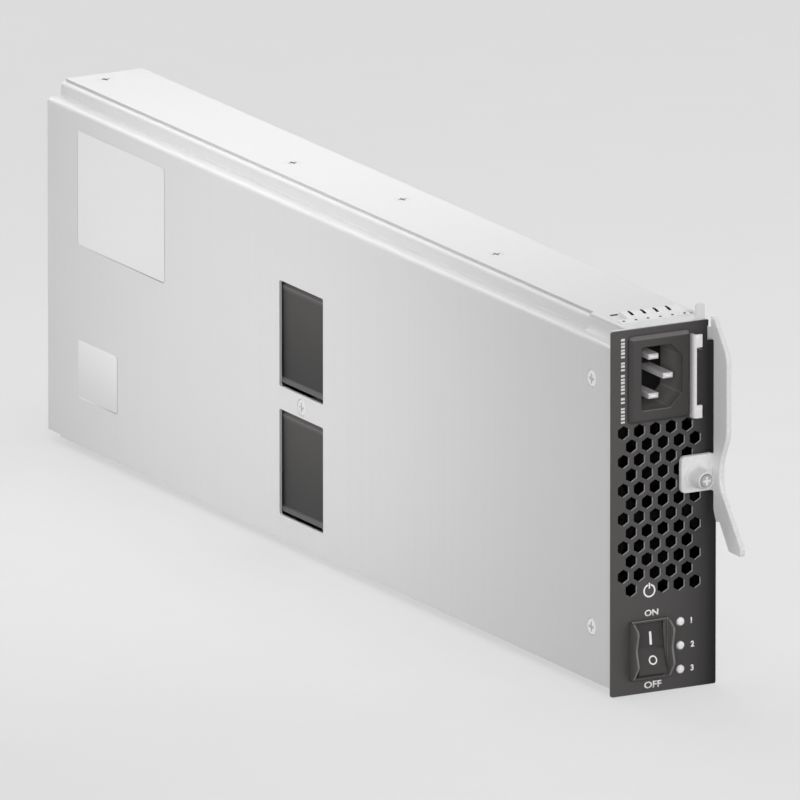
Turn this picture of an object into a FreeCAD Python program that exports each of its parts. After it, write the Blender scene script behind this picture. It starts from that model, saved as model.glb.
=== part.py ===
import FreeCAD, Part
import math
import os

V = FreeCAD.Vector

# Driving sizes in millimetres. X runs across the face plate from its middle, Y runs from the
# plate's front towards the rear, Z runs up from the plate's bottom edge.

# Face plate and folded body
plate_width = 41.5
plate_height = 130.0
plate_thickness = 1.0
plate_corner = 0.8
sheet = 1.0
bend_inside = 0.5
body_depth = 409.6
cover_inset = 1.05
wall_inset = 0.75
body_bottom = 2.5
body_top = 130.3
return_flange = 6.5
seat_gap = 0.1

# Rail step along the upper left edge
ledge_drop = 6.1
ledge_width = 5.5
top_sheet_edge = 7.4
front_corner_length = 27.4
front_corner_blend = 2.5
front_ledge_width = 2.0
cover_flange_width = 25.0
relief_length = 9.0
relief_height = 0.8

# Windows in the side cover and the potted blocks behind them
window_rear = 239.4
window_width = 31.65
window_height = 38.2
window_bottoms = (10.9, 57.4)
window_corner = 0.8
block_side_margin = 4.0
block_foot_gap = 1.0
block_top_gap = 0.4
block_setback = 0.45
block_bevel = 1.8
block_lip_height = 1.8
block_lip_reach = 0.3
block_edge = 0.3

# Labels on the side cover
label_thickness = 0.2
label_corner = 1.2
large_label_inset = 22.2
large_label_size = (64.15, 41.85)
large_label_bottom = 75.4
small_label_inset = 22.8
small_label_size = (28.6, 21.3)
small_label_bottom = 19.9

# Screws in the top and in the side cover
top_head_radius = 2.7
side_head_radius = 3.05
screw_radius = 1.5
screw_clearance = 0.05
screw_length = 5.0
rear_top_screw_x = -0.8
rear_top_screw_inset = 7.9
front_top_screws = ((-1.3, 263.2), (7.0, 198.7), (-2.3, 114.8))
side_screw_y = 15.9
side_screw_heights = (21.7, 110.1)
middle_screw_y = 223.4
middle_screw_z = 53.0

# Front frame
frame_flange_depth = 22.0
frame_flange_margin = 12.0
ear_left = 13.25
ear_width = 3.4
ear_top = 136.0
ear_fillet = 2.5
top_slot_left = -9.9
top_slot_size = (3.3, 0.8)
top_slot_y = 20.3

# Spring finger strip on the top
strip_left = -12.0
strip_right = 15.3
strip_front = 8.4
strip_foot = 3.4
strip_metal = 0.25
arch_left = -9.5
arch_depth = 5.8
arch_height = 1.5
finger_pitch = 4.93
finger_count = 5
finger_slit = 0.7
finger_root = 2.0
foot_hole_radius = 0.45
foot_hole_first = -10.4
foot_hole_pitch = 4.8
foot_hole_count = 6
foot_hole_inset = 1.4

# Hexagon grille
hex_across_flats = 4.4
hex_pitch_x = 6.3
hex_pitch_z = 5.116
hex_rows = 12
hex_columns = 5
hex_first_x = -15.9
hex_first_z = 93.73
hex_left_out = (11, 1)
grille_margin = 0.7

# Mains inlet
inlet_x = -1.95
inlet_z = 112.5
inlet_flange_size = (24.0, 31.0)
inlet_flange_shift = (-0.4, -0.3)
inlet_flange_corner = 1.5
inlet_flange_height = 2.0
inlet_flange_bevel = 1.2
inlet_body_size = (19.8, 26.6)
inlet_cavity_size = (15.9, 22.4)
inlet_cavity_corner = 4.5
inlet_cavity_round = 0.8
inlet_cavity_depth = 16.5
inlet_back_wall = 4.0
blade_size = (4.0, 2.0)
blade_tip_setback = 1.6
blade_tip_taper = 0.7
blade_tail = 7.0
blade_spacing = 14.0
blade_offset_x = -2.05
earth_offset_x = 2.85
earth_lead = 1.4

# Cord retainer bracket
retainer_x = 10.05
retainer_metal = 1.2
retainer_reach = 3.3
retainer_bottom = 96.25
retainer_height = 29.75
retainer_lip_height = 4.6
retainer_lip_width = 3.35

# Power switch
switch_x = -6.05
switch_z = 15.78
bezel_size = (15.0, 21.1)
bezel_height = 1.5
bezel_corner = 0.8
switch_body_size = (13.4, 20.2)
switch_body_depth = 15.0
rocker_width = 11.0
rocker_end_radius = 9.3
rocker_end_height = 1.9
rocker_valley = 0.7
rocker_valley_round = 6.0
rocker_skirt_depth = 3.6
rocker_belly_depth = 6.0
rocker_belly_half = 3.0
rocker_clearance = 0.35
rocker_pivot_depth = 0.8
rocker_tilt = 12.0
trunnion_radius = 1.2
trunnion_length = 0.9
trunnion_end_gap = 0.15
running_clearance = 0.05
well_depth = 7.5
guard_thickness = 0.85
guard_inset = 0.4
guard_end_height = 2.6
guard_crest_height = 6.2
guard_dip_height = 4.6
guard_upper_crest = 0.13
guard_dip = 0.46
guard_lower_crest = 0.74
guard_round = 2.0
terminal_size = (0.8, 4.8, 7.0)
terminal_spacing = 7.0
terminal_rise = 9.8

# Status lights
light_x = 6.76
light_heights = (23.82, 15.31, 6.81)
light_names = ("upper", "middle", "lower")
light_radius = 1.5
light_dome = 0.6
light_clearance = 0.1
indicator_board_y = 8.0
indicator_board_thickness = 1.2
indicator_board_margin = 2.5

# Ejector lever
lever_x = 17.95
lever_metal = 2.0
lever_pivot_y = 7.0
lever_pivot_z = 123.7
lever_hub_radius = 3.9
lever_pin_radius = 2.0
lever_pin_head = 2.7
lever_pin_head_thickness = 0.5
lever_side_gap = 0.3
lever_arm_bottom = 123.2
lever_arm_round = 0.4
lever_finger_gap = 0.7
lever_finger_flat = 1.3
lever_finger_top = 131.6
lever_finger_shoulder = (3.4, 130.9)
lever_finger_round = 2.0
lever_belly_reach = 12.1
lever_belly_ends = (119.0, 90.5)
lever_waist_reach = 7.2
lever_waist_ends = (80.5, 71.6)
lever_sweep_round = 9.0
lever_reach = 22.0
lever_tip_ends = (53.0, 50.2)
lever_tip_lean = 0.4
lever_tip_round = 1.2
lever_heel = (13.65, 50.4)
lever_notch = ((7.0, 59.4), (4.5, 59.0))
lever_notch_round = 0.3
lever_inner_gap = 2.72
lever_inner_bottom = 63.0
lever_slot_margin = 0.85
lever_slot_gap = 0.4
lever_hook_top = 127.8
lever_hook_gap = 0.4
lever_pocket_depth = 14.0
lug_metal = 1.0
lug_height = 10.0
tab_width = 12.3
tab_bottom = 69.9
tab_height = 13.1
tab_corner = 1.8
tab_plate_gap = 0.4

# Captive screw in the lever's tab
ferrule_x = 11.4
ferrule_z = 75.5
ferrule_shank = 3.3
ferrule_base = 4.2
ferrule_flare = 1.2
ferrule_cone = 3.7
ferrule_tip = 3.0
ferrule_height = 7.6
ferrule_throat = 0.6
ferrule_throat_radius = 1.6
captive_head_radius = 2.2
captive_head_clearance = 0.2
captive_head_height = 2.2
captive_head_edge = 0.2
captive_radius = 1.45
captive_point = 0.4
captive_reach = 1.6
captive_hole_clearance = 0.35
captive_travel = 2.0
groove_radius = 1.2
collar_radius = 2.2
collar_width = 0.8
collar_clearance = 0.1

# Fans behind the grille
fan_size = 36.0
fan_depth = 28.0
fan_x = 0.65
fan_bottom = 26.5
fan_wall = 1.0
fan_corner = 3.0
fan_names = ("lower", "upper")
fan_hub_radius = 9.0
fan_blade_count = 7
fan_tip_gap = 0.7
fan_blade_metal = 1.0
fan_blade_start = 4.0
fan_blade_depth = 15.0
fan_blade_slant = 6.0
fan_hub_edge = 1.5
fan_hub_wall = 1.2
fan_base_depth = 4.0
fan_strut_width = 3.0
fan_shaft_radius = 1.5
fan_bearing_radius = 4.0
fan_bearing_length = 12.0

# Boards and components inside
board_gap = 4.0
board_thickness = 1.6
board_front = 48.0
board_rear_gap = 11.6
board_bottom = 8.0
board_top = 122.0
standoff_radius = 3.0
standoff_inset = 8.0
standoff_block_gap = 3.6
post_radius = 2.9
choke_y = 70.0
choke_z = 98.0
choke_radius = 14.0
choke_hole = 6.0
choke_height = 20.0
choke_edge = 3.0
filter_capacitor_size = (26.0, 14.0, 30.0)
filter_capacitor_first = (62.0, 20.0)
filter_capacitor_pitch = 20.0
filter_capacitor_count = 3
filter_capacitor_edge = 1.0
bulk_capacitor_radius = 14.5
bulk_capacitor_height = 29.0
bulk_capacitor_gap = 17.0
bulk_capacitor_first = 27.0
bulk_capacitor_pitch = 37.0
bulk_capacitor_count = 3
bulk_capacitor_edge = 1.5
sink_base = 3.0
sink_fin = 1.4
sink_fin_pitch = 5.5
sink_fin_height = 22.0
primary_sink_front = 102.0
primary_sink_gap = 9.5
secondary_sink_gap = 9.0
sink_bottom = 18.0
sink_height = 94.0
output_capacitor_radius = 6.3
output_capacitor_height = 22.0
output_capacitor_edge = 1.2
output_capacitor_gap = 3.0
output_capacitor_pitch = 15.0
output_capacitor_first = 27.5
output_capacitor_rows = 2
output_capacitor_columns = 6

# Rear panel and output connector
vent_columns = 4
vent_margin = 8.0
rear_fit = 0.2
rear_flange = 12.0
connector_size = (16.0, 26.0, 60.0)
connector_bottom = 35.0
connector_reach = 6.0
connector_fit = 0.3
connector_edge = 1.0
contact_slot_size = (10.0, 12.0, 4.0)
contact_pitch = 9.0
contact_count = 6
contact_thickness = 1.2
contact_setback = 2.0

# Planes worked out from the driving sizes
half_width = plate_width / 2
cover_x = -half_width + cover_inset
cover_inside = cover_x + sheet
wall_x = half_width - wall_inset
wall_inside = wall_x - sheet
inside_y = plate_thickness + sheet
riser_x = cover_x + ledge_width
ledge_height = body_top - ledge_drop
top_edge_x = cover_x + top_sheet_edge
flange_edge_x = riser_x + cover_flange_width
lever_right = lever_x + lever_metal
slot_left = lever_x - lever_slot_margin
slot_bottom = lever_arm_bottom - lever_slot_gap
pocket_bottom = lever_pivot_z - lever_hub_radius - lever_slot_gap
board_x = wall_inside - board_gap - board_thickness
board_rear = body_depth - board_rear_gap
block_front = window_rear - window_width - block_side_margin
block_rear = window_rear + block_side_margin
bulk_capacitor_y = block_front - bulk_capacitor_gap - bulk_capacitor_radius
primary_sink_rear = bulk_capacitor_y - bulk_capacitor_radius - primary_sink_gap
connector_rear = body_depth + connector_reach
connector_front = connector_rear - connector_size[1]
output_capacitor_rear = connector_front - output_capacitor_gap - output_capacitor_radius
output_capacitor_front = output_capacitor_rear - (output_capacitor_rows - 1) * output_capacitor_pitch
tab_front_y = -tab_plate_gap - lever_metal
screw_seat_y = tab_front_y - ferrule_height + captive_head_height
centre_y = (body_depth + connector_reach - lever_reach) / 2

os.makedirs("parts", exist_ok=True)


def save(name, shape):
    """Write one piece, moved so that the origin lies under the middle of the whole module."""
    piece = shape.copy()
    piece.translate(V(0, -centre_y, 0))
    piece.exportStep("parts/" + name + ".step")


def block(x0, x1, y0, y1, z0, z1):
    return Part.makeBox(x1 - x0, y1 - y0, z1 - z0, V(x0, y0, z0))


def rod_x(radius, x0, x1, y, z):
    return Part.makeCylinder(radius, x1 - x0, V(x0, y, z), V(1, 0, 0))


def rod_y(radius, y0, y1, x, z):
    return Part.makeCylinder(radius, y1 - y0, V(x, y0, z), V(0, 1, 0))


def rod_z(radius, z0, z1, x, y):
    return Part.makeCylinder(radius, z1 - z0, V(x, y, z0), V(0, 0, 1))


def rounded_wire(corners, place):
    """Closed wire through corners (a, b, radius), each rounded by a tangent arc of its radius."""
    starts = []
    middles = []
    ends = []
    for i, (a, b, radius) in enumerate(corners):
        corner = V(a, b, 0)
        before = V(*corners[i - 1][:2], 0) - corner
        after = V(*corners[(i + 1) % len(corners)][:2], 0) - corner
        before.normalize()
        after.normalize()
        if radius == 0:
            starts.append(corner)
            middles.append(None)
            ends.append(corner)
            continue
        half_angle = before.getAngle(after) / 2
        reach = radius / math.tan(half_angle)
        inward = before + after
        inward.normalize()
        starts.append(corner + before * reach)
        middles.append(corner + inward * (radius / math.sin(half_angle) - radius))
        ends.append(corner + after * reach)
    edges = []
    for i in range(len(corners)):
        if middles[i] is not None:
            arc = Part.Arc(place(starts[i]), place(middles[i]), place(ends[i]))
            edges.append(arc.toShape())
        following = starts[(i + 1) % len(corners)]
        if ends[i].distanceToPoint(following) > 1e-6:
            edges.append(Part.LineSegment(place(ends[i]), place(following)).toShape())
    return Part.Wire(edges)


def slab(corners, axis, low, high):
    """Plate of a rounded outline, square to an axis. Outlines are (y, z), (x, z) or (x, y)."""
    if axis == "x":
        wire = rounded_wire(corners, lambda p: V(low, p.x, p.y))
        return Part.Face(wire).extrude(V(high - low, 0, 0))
    if axis == "y":
        wire = rounded_wire(corners, lambda p: V(p.x, low, p.y))
        return Part.Face(wire).extrude(V(0, high - low, 0))
    wire = rounded_wire(corners, lambda p: V(p.x, p.y, low))
    return Part.Face(wire).extrude(V(0, 0, high - low))


def rectangle(a0, a1, b0, b1, radius=0):
    return [(a0, b0, radius), (a1, b0, radius), (a1, b1, radius), (a0, b1, radius)]


def centred(middle, size, radius=0):
    return rectangle(
        middle[0] - size[0] / 2, middle[0] + size[0] / 2,
        middle[1] - size[1] / 2, middle[1] + size[1] / 2, radius)


def folded(path, metal):
    """Outline of a bent sheet. The path (a, b, inside radius) is one face, the metal on its right."""
    face = []
    back = []
    for i, (a, b, radius) in enumerate(path):
        here = V(a, b, 0)
        arriving = here - V(*path[max(i - 1, 0)][:2], 0)
        leaving = V(*path[min(i + 1, len(path) - 1)][:2], 0) - here
        if i == 0:
            arriving = leaving
        if i == len(path) - 1:
            leaving = arriving
        arriving.normalize()
        leaving.normalize()
        right_before = V(arriving.y, -arriving.x, 0)
        right_after = V(leaving.y, -leaving.x, 0)
        shift = (right_before + right_after) * (metal / (1 + right_before.dot(right_after)))
        turn = arriving.cross(leaving).z
        face_radius = 0
        back_radius = 0
        if turn > 1e-6:
            face_radius = radius
            back_radius = radius + metal
        if turn < -1e-6:
            face_radius = radius + metal
            back_radius = radius
        face.append((a, b, face_radius))
        back.append((a + shift.x, b + shift.y, back_radius))
    return face + back[::-1]


def turned(corners, x, z):
    """Solid of revolution about a Y axis through (x, z). The outline is (radius, y)."""
    wire = rounded_wire(corners, lambda p: V(x + p.x, p.y, z))
    return Part.Face(wire).revolve(V(x, 0, z), V(0, 1, 0), 360)


def edges_along(shape, axis, test):
    """Straight edges that run along an axis (0, 1 or 2) and whose middle passes a test."""
    found = []
    for edge in shape.Edges:
        if len(edge.Vertexes) != 2:
            continue
        run = edge.Vertexes[1].Point - edge.Vertexes[0].Point
        if run.Length > 1e-6 and abs(abs(run[axis]) - run.Length) < 1e-6:
            if test(edge.CenterOfMass):
                found.append(edge)
    return found


def hexagon(x, z):
    radius = hex_across_flats / math.sqrt(3)
    turns = [math.radians(90 + 60 * i) for i in range(6)]
    return [(x + radius * math.cos(t), z + radius * math.sin(t), 0) for t in turns]


def hex_centres():
    """Rows alternate by half a pitch. One hexagon is left out for the power mark."""
    centres = []
    for row in range(hex_rows):
        for column in range(hex_columns):
            if (row, column) != hex_left_out:
                x = hex_first_x + (column + 0.5 * (row % 2)) * hex_pitch_x
                centres.append((x, hex_first_z - row * hex_pitch_z))
    return centres


def side_cover():
    bend = bend_inside
    rear_path = [
        (cover_x, body_bottom, 0), (cover_x, ledge_height, bend), (riser_x, ledge_height, bend),
        (riser_x, body_top - sheet, bend), (flange_edge_x, body_top - sheet, 0)]
    front_path = [
        (cover_x, body_bottom, 0), (cover_x, ledge_height, bend),
        (cover_x + front_ledge_width, ledge_height, 0)]
    split = front_corner_length + seat_gap
    cover = slab(folded(front_path, sheet), "y", inside_y, split)
    cover = cover.fuse(slab(folded(rear_path, sheet), "y", split, body_depth)).removeSplitter()
    cuts = []
    for bottom in window_bottoms:
        outline = rectangle(
            window_rear - window_width, window_rear, bottom, bottom + window_height, window_corner)
        cuts.append(slab(outline, "x", cover_x - sheet, cover_inside + sheet))
    hole = side_head_radius + screw_clearance
    for y, z in side_screw_places():
        cuts.append(rod_x(hole, cover_x - sheet, cover_inside + sheet, y, z))
    for x, y in top_screw_places():
        cuts.append(rod_z(screw_radius + screw_clearance, body_top - 3 * sheet, body_top, x, y))
    cuts.append(block(
        cover_x - sheet, cover_inside, body_depth - relief_length, body_depth + sheet,
        body_bottom - sheet, body_bottom + relief_height))
    return cover.cut(cuts)


def top_screw_places():
    return [(rear_top_screw_x, body_depth - rear_top_screw_inset)] + list(front_top_screws)


def side_screw_places():
    places = [(side_screw_y, z) for z in side_screw_heights]
    return places + [(middle_screw_y, middle_screw_z)]


def chassis_tray():
    bend = bend_inside
    walls = [
        (wall_x, body_top, bend), (wall_x, body_bottom, bend),
        (cover_inside, body_bottom, bend), (cover_inside, body_bottom + return_flange, 0)]
    rear_path = [(top_edge_x, body_top, 0)] + walls
    front_path = [
        (cover_x + front_ledge_width + seat_gap, ledge_height, 0),
        (riser_x, ledge_height, front_corner_blend), (riser_x, body_top, bend)] + walls
    tray = slab(folded(front_path, sheet), "y", inside_y, front_corner_length)
    tray = tray.fuse(slab(folded(rear_path, sheet), "y", front_corner_length, body_depth))
    tray = tray.removeSplitter()
    cuts = [block(
        slot_left - lug_metal, wall_x + sheet, inside_y - sheet, lever_pocket_depth,
        pocket_bottom, body_top + sheet)]
    hole = top_head_radius + screw_clearance
    for x, y in top_screw_places():
        cuts.append(rod_z(hole, body_top - 2 * sheet, body_top + sheet, x, y))
    for x, y in foot_hole_places():
        cuts.append(rod_z(foot_hole_radius, body_top - 2 * sheet, body_top + sheet, x, y))
    cuts.append(block(
        top_slot_left, top_slot_left + top_slot_size[0], top_slot_y, top_slot_y + top_slot_size[1],
        body_top - 2 * sheet, body_top + sheet))
    return tray.cut(cuts)


def front_frame():
    """Bulkhead with an ear, a left and a top flange, and the lug that carries the lever's pin."""
    ear_right = ear_left + ear_width
    outline = [
        (cover_x, body_bottom, 0), (wall_x, body_bottom, 0), (wall_x, slot_bottom, 0),
        (slot_left, slot_bottom, 0), (slot_left, body_top, 0), (ear_right, body_top, 0),
        (ear_right, ear_top, ear_width * 0.4), (ear_left, ear_top, ear_width * 0.4),
        (ear_left, body_top, ear_fillet), (cover_x, body_top, 0)]
    if slot_left < ear_right:
        outline = outline[:3] + [(ear_right, slot_bottom, 0)] + outline[6:]
    frame = slab(outline, "y", plate_thickness, inside_y)
    flange_low = body_bottom + frame_flange_margin
    flange_high = ledge_height - sheet - front_corner_blend
    left = block(
        cover_inside, cover_inside + sheet, plate_thickness, frame_flange_depth,
        flange_low, flange_high)
    top = block(
        riser_x + 2 * sheet, slot_left - lug_metal, plate_thickness, frame_flange_depth,
        body_top - 2 * sheet, body_top - sheet)
    lug = slab(
        rectangle(plate_thickness, lever_pivot_y + lever_hub_radius,
                  lever_pivot_z - lug_height / 2, lever_pivot_z + lug_height / 2 - sheet),
        "x", slot_left - lug_metal, slot_left)
    frame = frame.fuse([left, top, lug]).removeSplitter()
    cuts = [
        slab(grille_outline(), "y", 0, inside_y + sheet),
        slab(centred((inlet_x, inlet_z), inlet_body_size), "y", 0, inside_y + sheet),
        slab(centred((switch_x, switch_z), switch_body_size), "y", 0, inside_y + sheet),
        rod_x(lever_pin_radius, slot_left - 2 * lug_metal, slot_left + lug_metal,
              lever_pivot_y, lever_pivot_z),
        rod_y(captive_radius + captive_hole_clearance, 0, inside_y + sheet, ferrule_x, ferrule_z)]
    for z in light_heights:
        cuts.append(rod_y(light_radius + light_clearance, 0, inside_y + sheet, light_x, z))
    for z in side_screw_heights:
        cuts.append(rod_x(
            screw_radius + screw_clearance, cover_inside - sheet, cover_inside + 2 * sheet,
            side_screw_y, z))
    return frame.cut(cuts)


def grille_outline():
    """Opening in the bulkhead that frees every hexagon of the plate."""
    half_flat = hex_across_flats / 2 + grille_margin
    half_tall = hex_across_flats / math.sqrt(3) + grille_margin
    last_x = hex_first_x + (hex_columns - 0.5) * hex_pitch_x
    last_z = hex_first_z - (hex_rows - 1) * hex_pitch_z
    return rectangle(
        hex_first_x - half_flat, last_x + half_flat,
        last_z - half_tall, hex_first_z + half_tall, hex_across_flats / 2)


def face_plate():
    slot_top = lever_hook_top
    hook_x = lever_x - lever_hook_gap
    outline = [
        (-half_width, 0, plate_corner), (half_width, 0, plate_corner),
        (half_width, slot_bottom, 0), (slot_left, slot_bottom, 0),
        (slot_left, slot_top, 0), (hook_x, slot_top, 0), (hook_x, plate_height, 0),
        (-half_width, plate_height, plate_corner)]
    plate = slab(outline, "y", 0, plate_thickness)
    low = -plate_thickness
    high = 2 * plate_thickness
    cuts = [slab(hexagon(x, z), "y", low, high) for x, z in hex_centres()]
    cuts.append(slab(centred((inlet_x, inlet_z), inlet_body_size), "y", low, high))
    cuts.append(slab(centred((switch_x, switch_z), switch_body_size), "y", low, high))
    for z in light_heights:
        cuts.append(rod_y(light_radius + light_clearance, low, high, light_x, z))
    cuts.append(rod_y(
        captive_radius + captive_hole_clearance, low, high, ferrule_x, ferrule_z))
    return plate.cut(cuts)


def foot_hole_places():
    return [(foot_hole_first + i * foot_hole_pitch, strip_front + foot_hole_inset)
            for i in range(foot_hole_count)]


def arch_solid(left, right, shrink):
    """Long front arc and short rear bend of the strip's arch, made smaller all round by a thickness."""
    front = strip_front + strip_foot
    crest = front + arch_depth
    sweep = (arch_depth ** 2 + arch_height ** 2) / (2 * arch_height)
    slope = rod_x(sweep - shrink, left, right, crest, body_top + arch_height - sweep)
    slope = slope.common(block(left, right, front, crest, body_top, body_top + 2 * arch_height))
    bend = rod_x(arch_height - shrink, left, right, crest, body_top)
    bend = bend.common(block(
        left, right, crest, crest + arch_height, body_top, body_top + 2 * arch_height))
    return slope.fuse(bend).removeSplitter()


def emi_finger_strip():
    """Spring strip on the top: a flat foot with holes and an arch slit into fingers from its rear."""
    arch_right = arch_left + finger_pitch * finger_count
    arch_front = strip_front + strip_foot
    arch_rear = arch_front + arch_depth + arch_height
    above = body_top + 2 * arch_height
    arch = arch_solid(arch_left, arch_right, 0)
    arch = arch.cut(arch_solid(arch_left + strip_metal, arch_right - strip_metal, strip_metal))
    foot = block(
        strip_left, strip_right, strip_front, arch_front + 2 * strip_metal,
        body_top, body_top + strip_metal)
    strip = foot.fuse(arch).removeSplitter()
    cuts = []
    for i in range(1, finger_count):
        x = arch_left + i * finger_pitch
        cuts.append(block(
            x - finger_slit / 2, x + finger_slit / 2, arch_front + finger_root, arch_rear + 1,
            body_top - 1, above))
    for x, y in foot_hole_places():
        cuts.append(rod_z(foot_hole_radius, body_top - 1, above, x, y))
    return strip.cut(cuts)


def inlet_housing():
    middle = (inlet_x + inlet_flange_shift[0], inlet_z + inlet_flange_shift[1])
    flange = slab(
        centred(middle, inlet_flange_size, inlet_flange_corner), "y", -inlet_flange_height, 0)
    front = [e for e in flange.Edges if abs(e.BoundBox.YMax + inlet_flange_height) < 1e-6]
    flange = flange.makeChamfer(inlet_flange_bevel, front)
    back_y = inlet_cavity_depth - inlet_flange_height + inlet_back_wall
    body = slab(centred((inlet_x, inlet_z), inlet_body_size), "y", 0, back_y)
    housing = flange.fuse(body).removeSplitter()
    left = inlet_x - inlet_cavity_size[0] / 2
    right = inlet_x + inlet_cavity_size[0] / 2
    low = inlet_z - inlet_cavity_size[1] / 2
    high = inlet_z + inlet_cavity_size[1] / 2
    corner = inlet_cavity_corner
    turn = inlet_cavity_round
    cavity = [
        (left, low, turn), (right - corner, low, turn), (right, low + corner, turn),
        (right, high - corner, turn), (right - corner, high, turn), (left, high, turn)]
    cuts = [slab(
        cavity, "y", -inlet_flange_height - 1, inlet_cavity_depth - inlet_flange_height)]
    for x, z, lead in blade_places():
        cuts.append(slab(centred((x, z), blade_size), "y", 0, back_y + 1))
    return housing.cut(cuts)


def blade_places():
    left = inlet_x + blade_offset_x
    return [
        (left, inlet_z + blade_spacing / 2, 0), (left, inlet_z - blade_spacing / 2, 0),
        (inlet_x + earth_offset_x, inlet_z, earth_lead)]


def inlet_blade(x, z, lead):
    """Flat contact with a tapered tip, held in the inlet's back wall."""
    tip = -inlet_flange_height + blade_tip_setback - lead
    back_y = inlet_cavity_depth - inlet_flange_height + inlet_back_wall
    blade = slab(centred((x, z), blade_size), "y", tip, back_y + blade_tail)
    rim = [e for e in blade.Edges if abs(e.BoundBox.YMax - tip) < 1e-6]
    return blade.makeChamfer(blade_tip_taper, rim)


def cord_retainer_bracket():
    """Upright web with a lip at each end, bent from one sheet and fixed to the plate."""
    top = retainer_bottom + retainer_height
    path = [
        (retainer_x, 0, 0), (retainer_x, -retainer_reach, bend_inside),
        (retainer_x + retainer_lip_width, -retainer_reach, 0)]
    channel = slab(folded(path[::-1], retainer_metal), "z", retainer_bottom, top)
    window = block(
        retainer_x + retainer_metal, retainer_x + retainer_lip_width + 1,
        -retainer_reach - 1, 0,
        retainer_bottom + retainer_lip_height, top - retainer_lip_height)
    return channel.cut(window)


def switch_housing():
    middle = (switch_x, switch_z)
    bezel = slab(centred(middle, bezel_size, bezel_corner), "y", -bezel_height, 0)
    body = slab(centred(middle, switch_body_size), "y", 0, switch_body_depth)
    housing = bezel.fuse(body)
    low = switch_z - bezel_size[1] / 2 + guard_inset
    high = switch_z + bezel_size[1] / 2 - guard_inset
    span = high - low
    guard = [
        (0, low, 0), (0, high, 0), (-guard_end_height, high, guard_round),
        (-guard_crest_height, high - span * guard_upper_crest, guard_round),
        (-guard_dip_height, high - span * guard_dip, 2 * guard_round),
        (-guard_crest_height, high - span * guard_lower_crest, guard_round),
        (-guard_end_height, low, guard_round)]
    for x in (switch_x - bezel_size[0] / 2, switch_x + bezel_size[0] / 2 - guard_thickness):
        housing = housing.fuse(slab(guard, "x", x, x + guard_thickness))
    housing = housing.removeSplitter()
    well_size = (
        rocker_width + 2 * rocker_clearance, 2 * (rocker_end_radius + rocker_clearance))
    well = slab(centred(middle, well_size), "y", -guard_crest_height - 1, well_depth)
    bearing_half = rocker_width / 2 + trunnion_length + trunnion_end_gap
    bearing = rod_x(
        trunnion_radius + running_clearance, switch_x - bearing_half, switch_x + bearing_half,
        rocker_pivot_depth, switch_z)
    return housing.cut([well, bearing])


def switch_rocker():
    """Rocker with a shallow valley and ends round about its trunnions, tilted to its on position."""
    front = -rocker_end_height
    end = rocker_end_radius
    outline = [
        (front, end, 0), (front + rocker_valley, 0, rocker_valley_round), (front, -end, 0),
        (rocker_skirt_depth, -end, 0), (rocker_belly_depth, -rocker_belly_half, 0),
        (rocker_belly_depth, rocker_belly_half, 0), (rocker_skirt_depth, end, 0)]
    left = switch_x - rocker_width / 2
    right = switch_x + rocker_width / 2
    rocker = slab(outline, "x", left, right)
    rocker = rocker.common(rod_x(rocker_end_radius, left, right, rocker_pivot_depth, 0))
    rocker = rocker.fuse(rod_x(
        trunnion_radius, left - trunnion_length, right + trunnion_length, rocker_pivot_depth, 0))
    rocker.translate(V(0, 0, switch_z))
    rocker.rotate(V(0, rocker_pivot_depth, switch_z), V(1, 0, 0), -rocker_tilt)
    return rocker


def switch_terminals():
    width, height, length = terminal_size
    blades = []
    for side in (-0.5, 0.5):
        for level in (-0.5, 0.5):
            x = switch_x + side * terminal_spacing
            z = switch_z + level * terminal_rise
            blades.append(block(
                x - width / 2, x + width / 2, switch_body_depth, switch_body_depth + length,
                z - height / 2, z + height / 2))
    return Part.Compound(blades)


def light_pipe(z):
    profile = [
        (0, -light_dome, 0), (light_radius - light_dome, -light_dome, 0), (light_radius, 0, 0),
        (light_radius, indicator_board_y, 0), (0, indicator_board_y, 0)]
    return turned(profile, light_x, z)


def indicator_board():
    half = light_radius + indicator_board_margin
    return block(
        light_x - half, light_x + half, indicator_board_y,
        indicator_board_y + indicator_board_thickness,
        body_bottom + sheet, max(light_heights) + light_radius)


def lever_outline():
    """From the hub along the arm's top, up the finger, down the front edge and back inside."""
    hub_front = lever_pivot_y - lever_hub_radius
    hub_rear = lever_pivot_y + lever_hub_radius
    hub_bottom = lever_pivot_z - lever_hub_radius
    hub_top = lever_pivot_z + lever_hub_radius
    half_round = lever_hub_radius * 0.99
    finger_rear = -lever_finger_gap
    shoulder_reach, shoulder_height = lever_finger_shoulder
    (notch_reach, notch_height), (end_reach, end_height) = lever_notch
    return [
        (hub_rear, hub_bottom, half_round), (hub_rear, hub_top, half_round),
        (finger_rear, hub_top, lever_arm_round),
        (finger_rear, lever_finger_top, lever_arm_round),
        (finger_rear - lever_finger_flat, lever_finger_top, lever_finger_round),
        (-shoulder_reach, shoulder_height, lever_finger_round),
        (-lever_belly_reach, lever_belly_ends[0], lever_sweep_round),
        (-lever_belly_reach, lever_belly_ends[1], lever_sweep_round),
        (-lever_waist_reach, lever_waist_ends[0], lever_sweep_round),
        (-lever_waist_reach, lever_waist_ends[1], lever_sweep_round),
        (-lever_reach, lever_tip_ends[0], lever_tip_round),
        (-lever_reach + lever_tip_lean, lever_tip_ends[1], lever_tip_round * 0.6),
        (-lever_heel[0], lever_heel[1], lever_tip_round),
        (-notch_reach, notch_height, lever_notch_round),
        (-end_reach, end_height, lever_notch_round),
        (-lever_inner_gap, lever_inner_bottom, lever_tip_round),
        (-lever_inner_gap, lever_arm_bottom, lever_arm_round),
        (hub_front, lever_arm_bottom, lever_arm_round),
        (hub_front, hub_bottom, lever_arm_bottom - hub_bottom - 2 * lever_arm_round)]


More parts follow.
